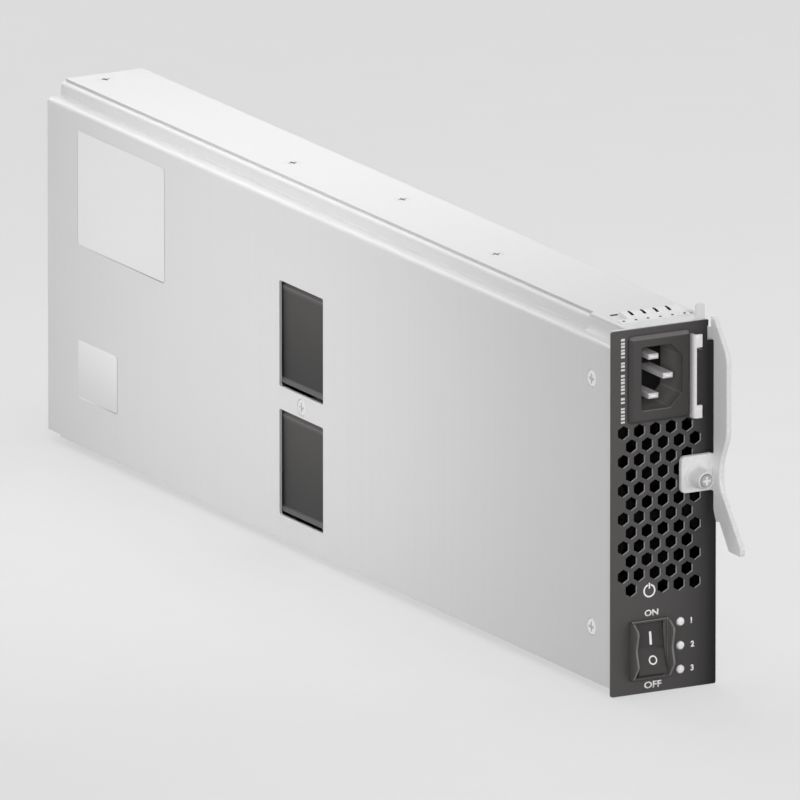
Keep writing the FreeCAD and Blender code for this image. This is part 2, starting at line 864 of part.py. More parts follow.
def ejector_lever():
    """Flat lever with a finger, a belly, a waist and a flared end, and a tab bent square to it."""
    inner = -lever_inner_gap
    lever = slab(lever_outline(), "x", lever_x, lever_right)
    tab_path = [
        (lever_right - lever_metal - tab_width, -tab_plate_gap, 0),
        (lever_right, -tab_plate_gap, bend_inside), (lever_right, inner - lever_metal, 0)]
    tab = slab(folded(tab_path, lever_metal), "z", tab_bottom, tab_bottom + tab_height)
    left = lever_x - tab_width
    corners = edges_along(tab, 1, lambda p: abs(p.x - left) < 1e-3)
    tab = tab.makeFillet(tab_corner, corners)
    lever = lever.fuse(tab).removeSplitter()
    pivot = rod_x(
        lever_pin_radius + running_clearance, lever_x - 1, lever_right + 1,
        lever_pivot_y, lever_pivot_z)
    seat = rod_y(ferrule_shank, tab_front_y - 1, 1, ferrule_x, ferrule_z)
    return lever.cut([pivot, seat])


def lever_pivot_pin():
    """Shouldered rivet: tail behind the lug, spacer before the lever, head outside it."""
    pieces = [
        rod_x(lever_pin_radius, slot_left - lug_metal, lever_right + lever_side_gap,
              lever_pivot_y, lever_pivot_z),
        rod_x(lever_pin_head, slot_left - lug_metal - lever_pin_head_thickness,
              slot_left - lug_metal, lever_pivot_y, lever_pivot_z),
        rod_x(lever_pin_head, slot_left, lever_x - lever_side_gap, lever_pivot_y, lever_pivot_z),
        rod_x(lever_pin_head, lever_right + lever_side_gap,
              lever_right + lever_side_gap + lever_pin_head_thickness,
              lever_pivot_y, lever_pivot_z)]
    return pieces[0].fuse(pieces[1:]).removeSplitter()


def screw_ferrule():
    """Flared cone pressed into the tab: head recess, throat, and chamber for the collar."""
    front = tab_front_y - ferrule_height
    recess = captive_head_radius + captive_head_clearance
    chamber = collar_radius + collar_clearance
    outline = [
        (ferrule_throat_radius, screw_seat_y, 0), (recess, screw_seat_y, 0), (recess, front, 0),
        (ferrule_tip, front, 0), (ferrule_cone, tab_front_y - ferrule_flare, 0),
        (ferrule_base, tab_front_y, 0), (ferrule_shank, tab_front_y, 0),
        (ferrule_shank, -tab_plate_gap, 0), (chamber, -tab_plate_gap, 0),
        (chamber, screw_seat_y + ferrule_throat, 0),
        (ferrule_throat_radius, screw_seat_y + ferrule_throat, 0)]
    return turned(outline, ferrule_x, ferrule_z)


def collar_front():
    return screw_seat_y + ferrule_throat + captive_travel + 2 * collar_clearance


def captive_screw():
    head_back = screw_seat_y - collar_clearance
    head_front = head_back - captive_head_height
    groove = collar_front() - collar_clearance
    groove_end = groove + collar_width + 2 * collar_clearance
    outline = [
        (0, head_front, 0), (captive_head_radius - captive_head_edge, head_front, 0),
        (captive_head_radius, head_front + captive_head_edge, 0),
        (captive_head_radius, head_back, 0), (captive_radius, head_back, 0),
        (captive_radius, groove, 0), (groove_radius, groove, 0), (groove_radius, groove_end, 0),
        (captive_radius, groove_end, 0), (captive_radius, captive_reach - captive_point, 0),
        (captive_radius - captive_point, captive_reach, 0), (0, captive_reach, 0)]
    return turned(outline, ferrule_x, ferrule_z)


def screw_collar():
    front = collar_front()
    bore = groove_radius + running_clearance
    ring = rod_y(collar_radius, front, front + collar_width, ferrule_x, ferrule_z)
    return ring.cut(rod_y(bore, front - 1, front + collar_width + 1, ferrule_x, ferrule_z))


def fan_axis(level):
    return fan_x, fan_bottom + (level + 0.5) * fan_size


def fan_frame(level):
    """Square duct with rounded corners and a motor base on struts at its rear."""
    x, z = fan_axis(level)
    rear = inside_y + fan_depth
    duct = fan_size / 2 - fan_wall
    frame = slab(centred((x, z), (fan_size, fan_size), fan_corner), "y", inside_y, rear)
    frame = frame.cut(rod_y(duct, inside_y - 1, rear + 1, x, z))
    base = rod_y(fan_hub_radius, rear - fan_base_depth, rear, x, z)
    bearing = rod_y(
        fan_bearing_radius, rear - fan_base_depth - fan_bearing_length, rear, x, z)
    struts = []
    for turn in (45, 135, 225, 315):
        strut = block(
            fan_bearing_radius, duct + fan_wall / 2, rear - fan_base_depth / 2, rear,
            -fan_strut_width / 2, fan_strut_width / 2)
        strut.rotate(V(0, 0, 0), V(0, 1, 0), turn)
        strut.translate(V(x, 0, z))
        struts.append(strut)
    frame = frame.fuse([base, bearing] + struts).removeSplitter()
    bore = fan_shaft_radius + running_clearance
    depth = fan_base_depth + fan_bearing_length
    return frame.cut(rod_y(bore, rear - depth - 1, rear - fan_base_depth / 2, x, z))


def fan_blade(root, tip, start):
    """Flat blade, slanted across the duct's axis, from inside the hub's wall to the tip circle."""
    half = fan_blade_slant / 2
    rear = start + fan_blade_depth
    corners = [
        V(root, start, -half), V(root, rear, half), V(root, rear, half + fan_blade_metal),
        V(root, start, -half + fan_blade_metal)]
    section = Part.Face(Part.makePolygon(corners + corners[:1]))
    blade = section.extrude(V(tip - root, 0, 0))
    return blade.common(rod_y(tip, start - 1, rear + 1, 0, 0))


def fan_rotor(level):
    x, z = fan_axis(level)
    start = inside_y + fan_blade_start
    cup_rear = inside_y + fan_depth - fan_base_depth - rocker_clearance
    cup = [
        (0, start - 1, 0), (fan_hub_radius - fan_hub_edge, start - 1, 0),
        (fan_hub_radius, start - 1 + fan_hub_edge, 0), (fan_hub_radius, cup_rear, 0),
        (fan_hub_radius - fan_hub_wall, cup_rear, 0),
        (fan_hub_radius - fan_hub_wall, start + fan_hub_wall, 0), (0, start + fan_hub_wall, 0)]
    wire = rounded_wire(cup, lambda p: V(p.x, p.y, 0))
    rotor = Part.Face(wire).revolve(V(0, 0, 0), V(0, 1, 0), 360)
    shaft_end = inside_y + fan_depth - fan_base_depth - running_clearance
    shaft = rod_y(fan_shaft_radius, start, shaft_end, 0, 0)
    tip = fan_size / 2 - fan_wall - fan_tip_gap
    blade = fan_blade(fan_hub_radius - fan_hub_wall, tip, start)
    blades = []
    for i in range(fan_blade_count):
        copy = blade.copy()
        copy.rotate(V(0, 0, 0), V(0, 1, 0), 360 * i / fan_blade_count)
        blades.append(copy)
    rotor = rotor.fuse([shaft] + blades)
    rotor.translate(V(x, 0, z))
    return rotor


def top_screws():
    screws = []
    for x, y in top_screw_places():
        head = rod_z(top_head_radius, body_top - sheet, body_top, x, y)
        shank = rod_z(screw_radius, body_top - screw_length, body_top - sheet, x, y)
        screws.append(head.fuse(shank).removeSplitter())
    return Part.Compound(screws)


def side_screws():
    screws = []
    for y, z in side_screw_places():
        head = rod_x(side_head_radius, cover_x, cover_inside, y, z)
        shank = rod_x(screw_radius, cover_inside, cover_inside + screw_length, y, z)
        screws.append(head.fuse(shank).removeSplitter())
    return Part.Compound(screws)


def label(inset, size, bottom):
    rear = body_depth - inset
    outline = rectangle(rear - size[0], rear, bottom, bottom + size[1], label_corner)
    return slab(outline, "x", cover_x - label_thickness, cover_x)


def main_board():
    board = block(
        board_x, board_x + board_thickness, board_front, board_rear, board_bottom, board_top)
    holes = [
        rod_x(screw_radius, board_x - 1, board_x + board_thickness + 1, y, z)
        for y, z in standoff_places()]
    return board.cut(holes)


def standoff_places():
    ys = (
        board_front + standoff_inset, block_rear + standoff_block_gap,
        board_rear - standoff_inset)
    return [(y, z) for y in ys
            for z in (board_bottom + standoff_inset, board_top - standoff_inset)]


def board_standoffs():
    posts = []
    for y, z in standoff_places():
        post = rod_x(standoff_radius, board_x + board_thickness, wall_inside, y, z)
        screw = rod_x(screw_radius, board_x - sheet, board_x + board_thickness, y, z)
        head = rod_x(top_head_radius, board_x - 2 * sheet, board_x, y, z)
        posts.append(post.fuse([screw, head]).removeSplitter())
    return Part.Compound(posts)


def cover_post():
    post = rod_x(post_radius, cover_inside, board_x, middle_screw_y, middle_screw_z)
    return post.cut(rod_x(
        screw_radius, cover_inside - 1, cover_inside + screw_length,
        middle_screw_y, middle_screw_z))


def potted_block(bottom):
    """Wound part in a moulded case with a bevelled upper edge and a lip along its foot."""
    face = cover_inside + block_setback
    lip = face - block_lip_reach
    low = bottom + block_foot_gap
    high = bottom + window_height - block_top_gap
    outline = [
        (lip, low, block_edge), (board_x, low, 0), (board_x, high, 0), (face + block_bevel, high, 0),
        (face, high - block_bevel, 0), (face, low + block_lip_height + block_lip_reach, 0),
        (lip, low + block_lip_height, block_edge)]
    return slab(outline, "y", block_front, block_rear)


def filter_choke():
    ring = rod_x(choke_radius, board_x - choke_height, board_x, choke_y, choke_z)
    ring = ring.cut(rod_x(choke_hole, board_x - choke_height - 1, board_x + 1, choke_y, choke_z))
    rim = [e for e in ring.Edges if abs(e.BoundBox.XMax - (board_x - choke_height)) < 1e-6]
    return ring.makeChamfer(choke_edge, rim)


def filter_capacitors():
    width, depth, height = filter_capacitor_size
    boxes = []
    for i in range(filter_capacitor_count):
        y = filter_capacitor_first[0]
        z = filter_capacitor_first[1] + i * filter_capacitor_pitch
        box = block(board_x - width, board_x, y, y + height, z, z + depth)
        edges = edges_along(box, 1, lambda p: p.x < board_x - 1)
        boxes.append(box.makeChamfer(filter_capacitor_edge, edges))
    return Part.Compound(boxes)


def standing_can(radius, height, y, z, edge):
    can = rod_x(radius, board_x - height, board_x, y, z)
    rim = [e for e in can.Edges if abs(e.BoundBox.XMax - (board_x - height)) < 1e-6]
    return can.makeChamfer(edge, rim)


def bulk_capacitors():
    levels = [bulk_capacitor_first + i * bulk_capacitor_pitch for i in range(bulk_capacitor_count)]
    return Part.Compound([
        standing_can(bulk_capacitor_radius, bulk_capacitor_height, bulk_capacitor_y, z,
                     bulk_capacitor_edge) for z in levels])


def output_capacitors():
    cans = []
    for row in range(output_capacitor_rows):
        for column in range(output_capacitor_columns):
            y = output_capacitor_rear - row * output_capacitor_pitch
            z = output_capacitor_first + column * output_capacitor_pitch
            cans.append(standing_can(
                output_capacitor_radius, output_capacitor_height, y, z, output_capacitor_edge))
    return Part.Compound(cans)


def heatsink(front, rear):
    """Extrusion with a flat base on the board and fins that run along the airflow."""
    base_left = board_x - sink_base
    outline = [(board_x, sink_bottom, 0), (board_x, sink_bottom + sink_height, 0)]
    outline.append((base_left, sink_bottom + sink_height, 0))
    count = int(sink_height / sink_fin_pitch)
    spare = (sink_height - (count - 1) * sink_fin_pitch - sink_fin) / 2
    for i in reversed(range(count)):
        low = sink_bottom + spare + i * sink_fin_pitch
        tip = base_left - sink_fin_height
        outline += [
            (base_left, low + sink_fin, 0), (tip, low + sink_fin, 0), (tip, low, 0),
            (base_left, low, 0)]
    outline.append((base_left, sink_bottom, 0))
    return slab(outline, "y", front, rear)


def connector_left():
    return board_x - connector_size[0]


def rear_panel():
    """Rear wall with hexagon vents, a cut-out for the connector and a flange at the right wall."""
    left = cover_inside + rear_fit
    right = wall_inside
    low = body_bottom + sheet
    high = body_top - 2 * sheet
    step = riser_x + sheet + rear_fit
    corner = bend_inside + rear_fit
    outline = [
        (left, body_bottom + return_flange + rear_fit, 0),
        (cover_inside + sheet + rear_fit, body_bottom + return_flange + rear_fit, 0),
        (cover_inside + sheet + rear_fit, low, corner), (right, low, corner), (right, high, corner),
        (step, high, corner), (step, ledge_height - sheet - rear_fit, 0),
        (left, ledge_height - sheet - rear_fit, 0)]
    panel = slab(outline, "y", body_depth - sheet, body_depth)
    flange = block(
        right - sheet, right, body_depth - rear_flange, body_depth, low + vent_margin,
        high - vent_margin)
    panel = panel.fuse(flange).removeSplitter()
    cuts = [block(
        connector_left() - connector_fit, board_x + connector_fit,
        body_depth - 2 * sheet, body_depth + sheet,
        connector_bottom - connector_fit, connector_bottom + connector_size[2] + connector_fit)]
    connector_low = connector_bottom - vent_margin / 2
    connector_high = connector_bottom + connector_size[2] + vent_margin / 2
    middle = (cover_inside + wall_inside) / 2
    rows = int((high - low - 2 * vent_margin) / hex_pitch_z)
    for row in range(rows):
        z = low + vent_margin + (row + 0.5) * hex_pitch_z
        if connector_low < z < connector_high:
            continue
        for column in range(vent_columns):
            place = column - vent_columns / 2 + 0.25 + 0.5 * (row % 2)
            outline = hexagon(middle + place * hex_pitch_x, z)
            cuts.append(slab(outline, "y", body_depth - 2 * sheet, body_depth + sheet))
    return panel.cut(cuts)


def contact_levels():
    middle = connector_bottom + connector_size[2] / 2
    return [middle + (i - (contact_count - 1) / 2) * contact_pitch for i in range(contact_count)]


def output_connector():
    width = connector_size[0]
    housing = block(
        connector_left(), board_x, connector_front, connector_rear,
        connector_bottom, connector_bottom + connector_size[2])
    rim = edges_along(housing, 0, lambda p: p.y > connector_rear - 1)
    housing = housing.makeChamfer(connector_edge, rim)
    middle = board_x - width / 2
    cuts = []
    for z in contact_levels():
        cuts.append(block(
            middle - contact_slot_size[0] / 2, middle + contact_slot_size[0] / 2,
            connector_rear - contact_slot_size[1], connector_rear + 1,
            z - contact_slot_size[2] / 2, z + contact_slot_size[2] / 2))
    return housing.cut(cuts)


def output_contacts():
    middle = board_x - connector_size[0] / 2
    half = contact_slot_size[0] / 2 - contact_thickness
    return Part.Compound([
        block(middle - half, middle + half,
              connector_rear - contact_slot_size[1], connector_rear - contact_setback,
              z - contact_thickness / 2, z + contact_thickness / 2)
        for z in contact_levels()])


save("side_cover", side_cover())
save("chassis_tray", chassis_tray())
save("front_frame", front_frame())
save("face_plate", face_plate())
save("rear_panel", rear_panel())
save("emi_finger_strip", emi_finger_strip())
save("inlet_housing", inlet_housing())
for blade_name, place in zip(("line", "neutral", "earth"), blade_places()):
    save("inlet_" + blade_name + "_blade", inlet_blade(*place))
save("cord_retainer_bracket", cord_retainer_bracket())
save("switch_housing", switch_housing())
save("switch_rocker", switch_rocker())
save("switch_terminals", switch_terminals())
for light_name, height in zip(light_names, light_heights):
    save(light_name + "_light_pipe", light_pipe(height))
save("indicator_board", indicator_board())
save("ejector_lever", ejector_lever())
save("lever_pivot_pin", lever_pivot_pin())
save("screw_ferrule", screw_ferrule())
save("screw_collar", screw_collar())
save("captive_screw", captive_screw())
for level, fan_name in enumerate(fan_names):
    save(fan_name + "_fan_frame", fan_frame(level))
    save(fan_name + "_fan_rotor", fan_rotor(level))
save("top_screws", top_screws())
save("side_screws", side_screws())
save("large_label", label(large_label_inset, large_label_size, large_label_bottom))
save("small_label", label(small_label_inset, small_label_size, small_label_bottom))
save("main_board", main_board())
save("board_standoffs", board_standoffs())
save("cover_post", cover_post())
save("main_transformer", potted_block(window_bottoms[0]))
save("pfc_choke", potted_block(window_bottoms[1]))
save("filter_choke", filter_choke())
save("filter_capacitors", filter_capacitors())
save("bulk_capacitors", bulk_capacitors())
save("output_capacitors", output_capacitors())
save("primary_heatsink", heatsink(primary_sink_front, primary_sink_rear))
save("secondary_heatsink", heatsink(
    block_rear + secondary_sink_gap,
    output_capacitor_front - output_capacitor_radius - secondary_sink_gap))
save("output_connector", output_connector())
save("output_contacts", output_contacts())
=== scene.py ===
import math

import bmesh
import bpy
from mathutils import Matrix, Vector


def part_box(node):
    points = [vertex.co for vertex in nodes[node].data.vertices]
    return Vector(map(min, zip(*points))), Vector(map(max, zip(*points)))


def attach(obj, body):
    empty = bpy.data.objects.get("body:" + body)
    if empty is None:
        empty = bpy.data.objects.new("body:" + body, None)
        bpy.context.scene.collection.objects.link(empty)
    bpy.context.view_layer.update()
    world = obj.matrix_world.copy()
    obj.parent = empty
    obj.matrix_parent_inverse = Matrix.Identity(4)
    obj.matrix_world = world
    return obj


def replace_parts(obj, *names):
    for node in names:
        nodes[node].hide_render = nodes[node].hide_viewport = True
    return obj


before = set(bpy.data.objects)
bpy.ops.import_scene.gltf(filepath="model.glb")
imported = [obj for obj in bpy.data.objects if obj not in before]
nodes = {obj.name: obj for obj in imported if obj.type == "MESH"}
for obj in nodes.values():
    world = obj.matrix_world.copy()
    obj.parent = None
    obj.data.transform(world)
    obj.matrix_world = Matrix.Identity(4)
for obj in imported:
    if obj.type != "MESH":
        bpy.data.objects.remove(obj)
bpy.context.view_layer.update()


# Millimetres from the middle of the face plate's lower front edge, which lies at plate_front

plate_front = -196.8
top_height = 130.3
ink_thickness = 0.03
label_rim_width = 0.5

top_screw_places = ((-0.8, 401.7), (-1.3, 263.2), (7.0, 198.7), (-2.3, 114.8))
side_screw_places = ((15.9, 21.7), (15.9, 110.1), (223.4, 53.0))
side_screw_face = -19.7
captive_screw_place = (11.4, -10.1, 75.5)

light_x = 6.76
light_heights = (23.82, 15.31, 6.81)
number_left, number_half, number_weight = 10.7, 1.1, 0.045

switch_middle = (-6.05, 15.78)
well_half_width, well_half_height, well_depth = 5.95, 9.75, 3.0
guard_foot, guard_crest, bezel_upper = 0.3, 2.2, 9.0
rocker_pivot_depth = 0.8
rocker_tilt = math.radians(-12.0)
rocker_half_width, rocker_end_radius = 5.5, 9.3
rocker_fill, rocker_fill_reach = 0.2, 0.1
rocker_waist, rocker_rise, rocker_upper = 1.2, 0.7, 8.4

first_rivet, rivet_pitch, rivet_count = (-10.4, 9.8), 4.8, 6
strip_ends, slit_foot, slit_push = (-7.0, 14.0), 130.4, 0.22
arch_left, arch_left_reach, arch_left_push = -9.5, 0.3, 2.0
core_place, core_size, core_round = (3.875, 16.0, top_height), (21.55, 4.2, 0.85), 0.5
slot_middle, slot_reach, slot_half, slot_push = (-8.25, 20.7), (3.0, 1.6), (2.0, 0.6), 0.9

rating_left, rating_right, rating_foot = -17.0, -15.5, 97.2
rating_groups, group_gap = (5, 2, 6, 3, 6), 1.0
stroke_pitch, stroke_height, stroke_step = 1.2, 0.7, 0.2


# Sizes in metres, and the boxes of nodes in the frame

millimetre = 0.001
plate_rim = 0.0003
top_sheet_foot, top_edge_foot = 0.128, 0.1292
inlet_wall, inlet_lip, inlet_depth = 0.002, 0.0002, 0.0185
switch_depth = 0.0137
window_foot, window_head, window_pitch = 0.0109, 0.0491, 0.0465
plate_low, plate_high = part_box("face_plate")
inlet_low, inlet_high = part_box("inlet_housing")
switch_low, switch_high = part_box("switch_housing")
large_label_low, large_label_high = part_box("large_label")
small_label_low, small_label_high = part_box("small_label")


# How finely shapes are made, and which edges count as sharp

node_weld, turned_weld, text_weld, level_gap = 2e-6, 1e-4, 1e-5, 1e-9
flat_turn, sharp_turn = math.radians(0.4), math.radians(35)
screw_steps, lens_steps, rivet_steps, ring_steps, thread_steps = 32, 32, 16, 40, 24
recess_taper, thread_flank = 0.7, 0.4


def at(x, y, z):
    """A place on the module, in the frame's metres."""
    return Vector((x, y + plate_front, z)) / 1000


def middle_mm(face):
    """Middle of a face, in the frame's axes but in millimetres."""
    return face.calc_center_median() * 1000


# Finishes

grain_detail, grain_ends, relief_height = 3.0, (0.3, 0.7), 0.00002


def grey(value):
    return (value, value, value)


def finish_nodes(name):
    """A new material, its shader, and its Object coordinates."""
    finish = bpy.data.materials.new(name)
    finish.use_nodes = True
    tree = finish.node_tree
    shader = tree.nodes["Principled BSDF"]
    places = tree.nodes.new("ShaderNodeTexCoord")
    return finish, tree, shader, places


def math_node(tree, operation, *values):
    """A Math node on numbers or on outputs of other nodes."""
    node = tree.nodes.new("ShaderNodeMath")
    node.operation = operation
    for entry, value in zip(node.inputs, values):
        if isinstance(value, bpy.types.NodeSocket):
            tree.links.new(value, entry)
        else:
            entry.default_value = value
    return node.outputs["Value"]


def stretched_noise(tree, places, scale, stretch):
    """Noise on Object coordinates, drawn out along the directions whose stretch is small."""
    mapping = tree.nodes.new("ShaderNodeMapping")
    mapping.inputs["Scale"].default_value = stretch
    noise = tree.nodes.new("ShaderNodeTexNoise")
    noise.inputs["Scale"].default_value = scale
    noise.inputs["Detail"].default_value = grain_detail
    tree.links.new(places.outputs["Object"], mapping.inputs["Vector"])
    tree.links.new(mapping.outputs["Vector"], noise.inputs["Vector"])
    return noise.outputs["Fac"]


def ramp(tree, value, stops):
    """Colours along a value: stops of (place, (red, green, blue))."""
    node = tree.nodes.new("ShaderNodeValToRGB")
    steps = node.color_ramp.elements
    steps[0].position, steps[1].position = stops[0][0], stops[-1][0]
    steps[0].color = (*stops[0][1], 1.0)
    steps[1].color = (*stops[-1][1], 1.0)
    for place, colour in stops[1:-1]:
        step = steps.new(place)
        step.color = (*colour, 1.0)
    tree.links.new(value, node.inputs["Fac"])
    return node.outputs["Color"]


def grain_shades(tree, grain, dark, light):
    """Two shades, mixed by the value of a grain."""
    return ramp(tree, grain, list(zip(grain_ends, (dark, light))))


def rough_between(tree, shader, value, rough):
    """Roughness that follows a value from the first of two ends to the second."""
    spread = tree.nodes.new("ShaderNodeMapRange")
    spread.inputs["To Min"].default_value, spread.inputs["To Max"].default_value = rough
    tree.links.new(value, spread.inputs["Value"])
    tree.links.new(spread.outputs["Result"], shader.inputs["Roughness"])


def bump(tree, shader, value, strength):
    """A fine relief that follows a value."""
    node = tree.nodes.new("ShaderNodeBump")
    node.inputs["Strength"].default_value = strength
    node.inputs["Distance"].default_value = relief_height
    tree.links.new(value, node.inputs["Height"])
    tree.links.new(node.outputs["Normal"], shader.inputs["Normal"])


def grained_finish(name, dark, light, rough, metal=0.0, scale=900.0, stretch=(1, 1, 1), relief=0.1,
                   gloss=0.5):
    """Two close shades mixed by a grain, which also sets the roughness and a fine relief."""
    finish, tree, shader, places = finish_nodes(name)
    grain = stretched_noise(tree, places, scale, stretch)
    tree.links.new(grain_shades(tree, grain, dark, light), shader.inputs["Base Color"])
    rough_between(tree, shader, grain, rough)
    bump(tree, shader, grain, relief)
    shader.inputs["Metallic"].default_value = metal
    shader.inputs["Specular IOR Level"].default_value = gloss
    return finish


def shaded_finish(name, axis, low, high, stops, rough, scale, repeat=1.0, gloss=0.5, speck=0.10,
                  relief=0.2):
    """A finish whose shade changes along an axis from low to high, over again at each repeat."""
    finish, tree, shader, places = finish_nodes(name)
    split = tree.nodes.new("ShaderNodeSeparateXYZ")
    tree.links.new(places.outputs["Object"], split.inputs["Vector"])
    rise = math_node(tree, "SUBTRACT", split.outputs[axis], low)
    spread = tree.nodes.new("ShaderNodeMapRange")
    spread.inputs["From Max"].default_value = high - low
    tree.links.new(math_node(tree, "MODULO", rise, repeat), spread.inputs["Value"])
    shade = ramp(tree, spread.outputs["Result"], stops)
    specks = stretched_noise(tree, places, scale, (1, 1, 1))
    speckle = tree.nodes.new("ShaderNodeMix")
    speckle.data_type = "RGBA"
    speckle.blend_type = "MULTIPLY"
    speckle.inputs["Factor"].default_value = 1.0
    tree.links.new(shade, speckle.inputs["A"])
    tree.links.new(grain_shades(tree, specks, grey(1.0 - speck), grey(1.0)), speckle.inputs["B"])
    tree.links.new(speckle.outputs["Result"], shader.inputs["Base Color"])
    rough_between(tree, shader, specks, rough)
    bump(tree, shader, specks, relief)
    shader.inputs["Specular IOR Level"].default_value = gloss
    return finish


# Metals

sheet_steel = grained_finish("zinc_plated_sheet", grey(0.703), grey(0.715), (0.43, 0.48),
                             metal=0.15, scale=500.0, stretch=(1.0, 1.0, 0.02), relief=0.012)
# A darker grey for the tray's top cut edge beside the step: painted shade.
sheet_edge_shade = grained_finish("sheet_edge_painted_shade", grey(0.54), grey(0.60), (0.45, 0.55), metal=0.15)
# Light grey: bare metal on the plate's hole walls, and a painted highlight on the fine rim along its right and
# lower edges.
plate_edge_and_highlight = grained_finish("bare_edge_and_painted_highlight", grey(0.68), grey(0.76), (0.40, 0.50), metal=0.1,
                            scale=2600.0)
spring_metal = grained_finish("spring_strip_metal", grey(0.78), grey(0.83), (0.38, 0.46),
                              metal=0.05, gloss=0.3)
contact_metal = grained_finish("plated_contact", (0.76, 0.74, 0.74), (0.84, 0.82, 0.82),
                               (0.30, 0.40), metal=0.15)
lever_metal = grained_finish("satin_lever_metal", grey(0.88), grey(0.92), (0.40, 0.50),
                             stretch=(1.0, 1.0, 0.05))
# A darker copy of the lever's metal on its faces that look forward: painted shade. On the captive screw's cross
# recess it is lighter than the head: a painted highlight.
lever_shade_and_cross_light = grained_finish("painted_lever_shade_and_cross_highlight", grey(0.74), grey(0.80), (0.32, 0.42))
screw_metal = grained_finish("screw_zinc", grey(0.56), grey(0.62), (0.32, 0.42), metal=0.2)
captive_metal = grained_finish("captive_screw_zinc", grey(0.38), grey(0.44), (0.35, 0.45),
                               metal=0.2)
side_screw_zinc = grained_finish("side_screw_zinc", grey(0.92), grey(0.96), (0.26, 0.34),
                                 metal=0.85)
# Near black inside the top screws' cross recesses: painted shade.
screw_recess_painted_shade = grained_finish("screw_recess_shade", grey(0.10), grey(0.14), (0.5, 0.6))
# Near-black steel for the spring strip's rivets: painted shade for dark dots along the strip's foot.
rivet_steel_painted_shade = grained_finish("rivet_steel_painted_shade", grey(0.10), grey(0.14), (0.35, 0.45), metal=0.3)
winding_wire = grained_finish("winding_wire", (0.30, 0.12, 0.04), (0.42, 0.18, 0.06), (0.3, 0.45),
                              metal=0.5)
sink_aluminium = grained_finish("sink_aluminium", grey(0.5), grey(0.6), (0.35, 0.5), metal=0.6)


# Mouldings, lacquers and inks

black_moulding = grained_finish("charcoal_moulding", (0.072, 0.068, 0.066), (0.082, 0.077, 0.075),
                                (0.40, 0.50), scale=1800.0, gloss=0.3)
# A lighter grey for the inlet's upper bevel and the rocker's upper end: painted highlight.
moulding_painted_highlight = grained_finish("moulding_painted_highlight", (0.115, 0.110, 0.108), (0.130, 0.124, 0.122),
                                (0.45, 0.55), scale=1800.0)
# A lighter grey for the guards' crests and the bezel's upper bevel: painted highlight.
guard_painted_highlight = grained_finish("guard_painted_highlight", (0.165, 0.158, 0.155), (0.185, 0.177, 0.174),
                             (0.45, 0.55), scale=1800.0)
rocker_gloss = grained_finish("rocker_gloss", (0.043, 0.040, 0.039), (0.050, 0.047, 0.046),
                              (0.38, 0.46), scale=1800.0, gloss=0.2)
# Near black for painted shade: the walls of the strip's slits, the walls of the slot beside it, and the core under
# the arch.
painted_shade_black = grained_finish("near_black_painted_shade", grey(0.006), grey(0.010), (0.7, 0.8), gloss=0.1)
# Black plastic of the fans, made darker than plastic so the holes in the plate read as shade: partly painted shade.
fan_black_and_shade = grained_finish("black_plastic_darkened_as_shade", grey(0.002), grey(0.003), (0.8, 0.9),
                             gloss=0.05)
lens = grained_finish("milky_light_pipe", grey(0.90), grey(0.94), (0.2, 0.3))
# A mid grey on the labels' edges and the large label's rear rim: painted shade.
label_rim_shade = grained_finish("label_rim_painted_shade", grey(0.50), grey(0.56), (0.5, 0.6))
mark_ink = grained_finish("white_ink", grey(0.90), grey(0.94), (0.45, 0.6), scale=3000.0)
small_ink = grained_finish("grey_ink", grey(0.66), grey(0.74), (0.45, 0.6), scale=3000.0)
board_green = grained_finish("board_lacquer", (0.012, 0.07, 0.035), (0.02, 0.1, 0.05), (0.3, 0.45))
can_sleeve = grained_finish("can_sleeve", (0.01, 0.012, 0.02), (0.02, 0.022, 0.035), (0.3, 0.4))
film_case = grained_finish("film_case", (0.30, 0.22, 0.03), (0.36, 0.27, 0.05), (0.35, 0.5))


# Finishes with painted light and shade that change from end to end

# Charcoal paint that darkens towards the plate's right edge: painted shade.
plate_paint_with_shade = shaded_finish(
    "charcoal_paint_with_painted_shade", "X", plate_low.x, plate_high.x,
    [(0.0, (0.092, 0.088, 0.086)), (0.40, (0.084, 0.080, 0.079)), (0.62, (0.074, 0.071, 0.070)),
     (0.80, (0.056, 0.053, 0.053)), (0.885, (0.037, 0.034, 0.034)), (0.96, (0.012, 0.011, 0.011)),
     (1.0, (0.006, 0.005, 0.005))],
    rough=(0.42, 0.52), scale=2600.0, gloss=0.2)
# Inlet moulding that darkens towards its right side: painted shade.
inlet_moulding_painted_shade = shaded_finish(
    "inlet_moulding_painted_shade", "X", inlet_low.x, inlet_high.x,
    [(0.0, (0.062, 0.058, 0.057)), (0.35, (0.060, 0.056, 0.055)), (0.85, (0.040, 0.037, 0.036)),
     (1.0, (0.034, 0.032, 0.031))],
    rough=(0.42, 0.52), scale=1800.0, gloss=0.3)
# The inlet's cavity: darker at the mouth, lighter deeper in, and near black at the back: painted light and shade.
inlet_cavity_painted_light = shaded_finish(
    "inlet_cavity_painted_light", "Y", inlet_low.y, inlet_low.y + inlet_depth,
    [(0.0, (0.10, 0.096, 0.094)), (0.3, (0.21, 0.203, 0.200)), (0.80, (0.24, 0.232, 0.228)),
     (0.86, (0.012, 0.011, 0.011))],
    rough=(0.45, 0.55), scale=1800.0, gloss=0.2)
# The switch's well, far lighter than the moulding deeper in: painted light.
switch_well_painted_light = shaded_finish(
    "switch_well_painted_light", "Y", switch_low.y, switch_low.y + switch_depth,
    [(0.0, (0.072, 0.068, 0.066)), (0.30, (0.080, 0.075, 0.073)), (0.40, (0.34, 0.326, 0.320)),
     (1.0, (0.50, 0.480, 0.470))],
    rough=(0.45, 0.55), scale=1800.0, gloss=0.3)
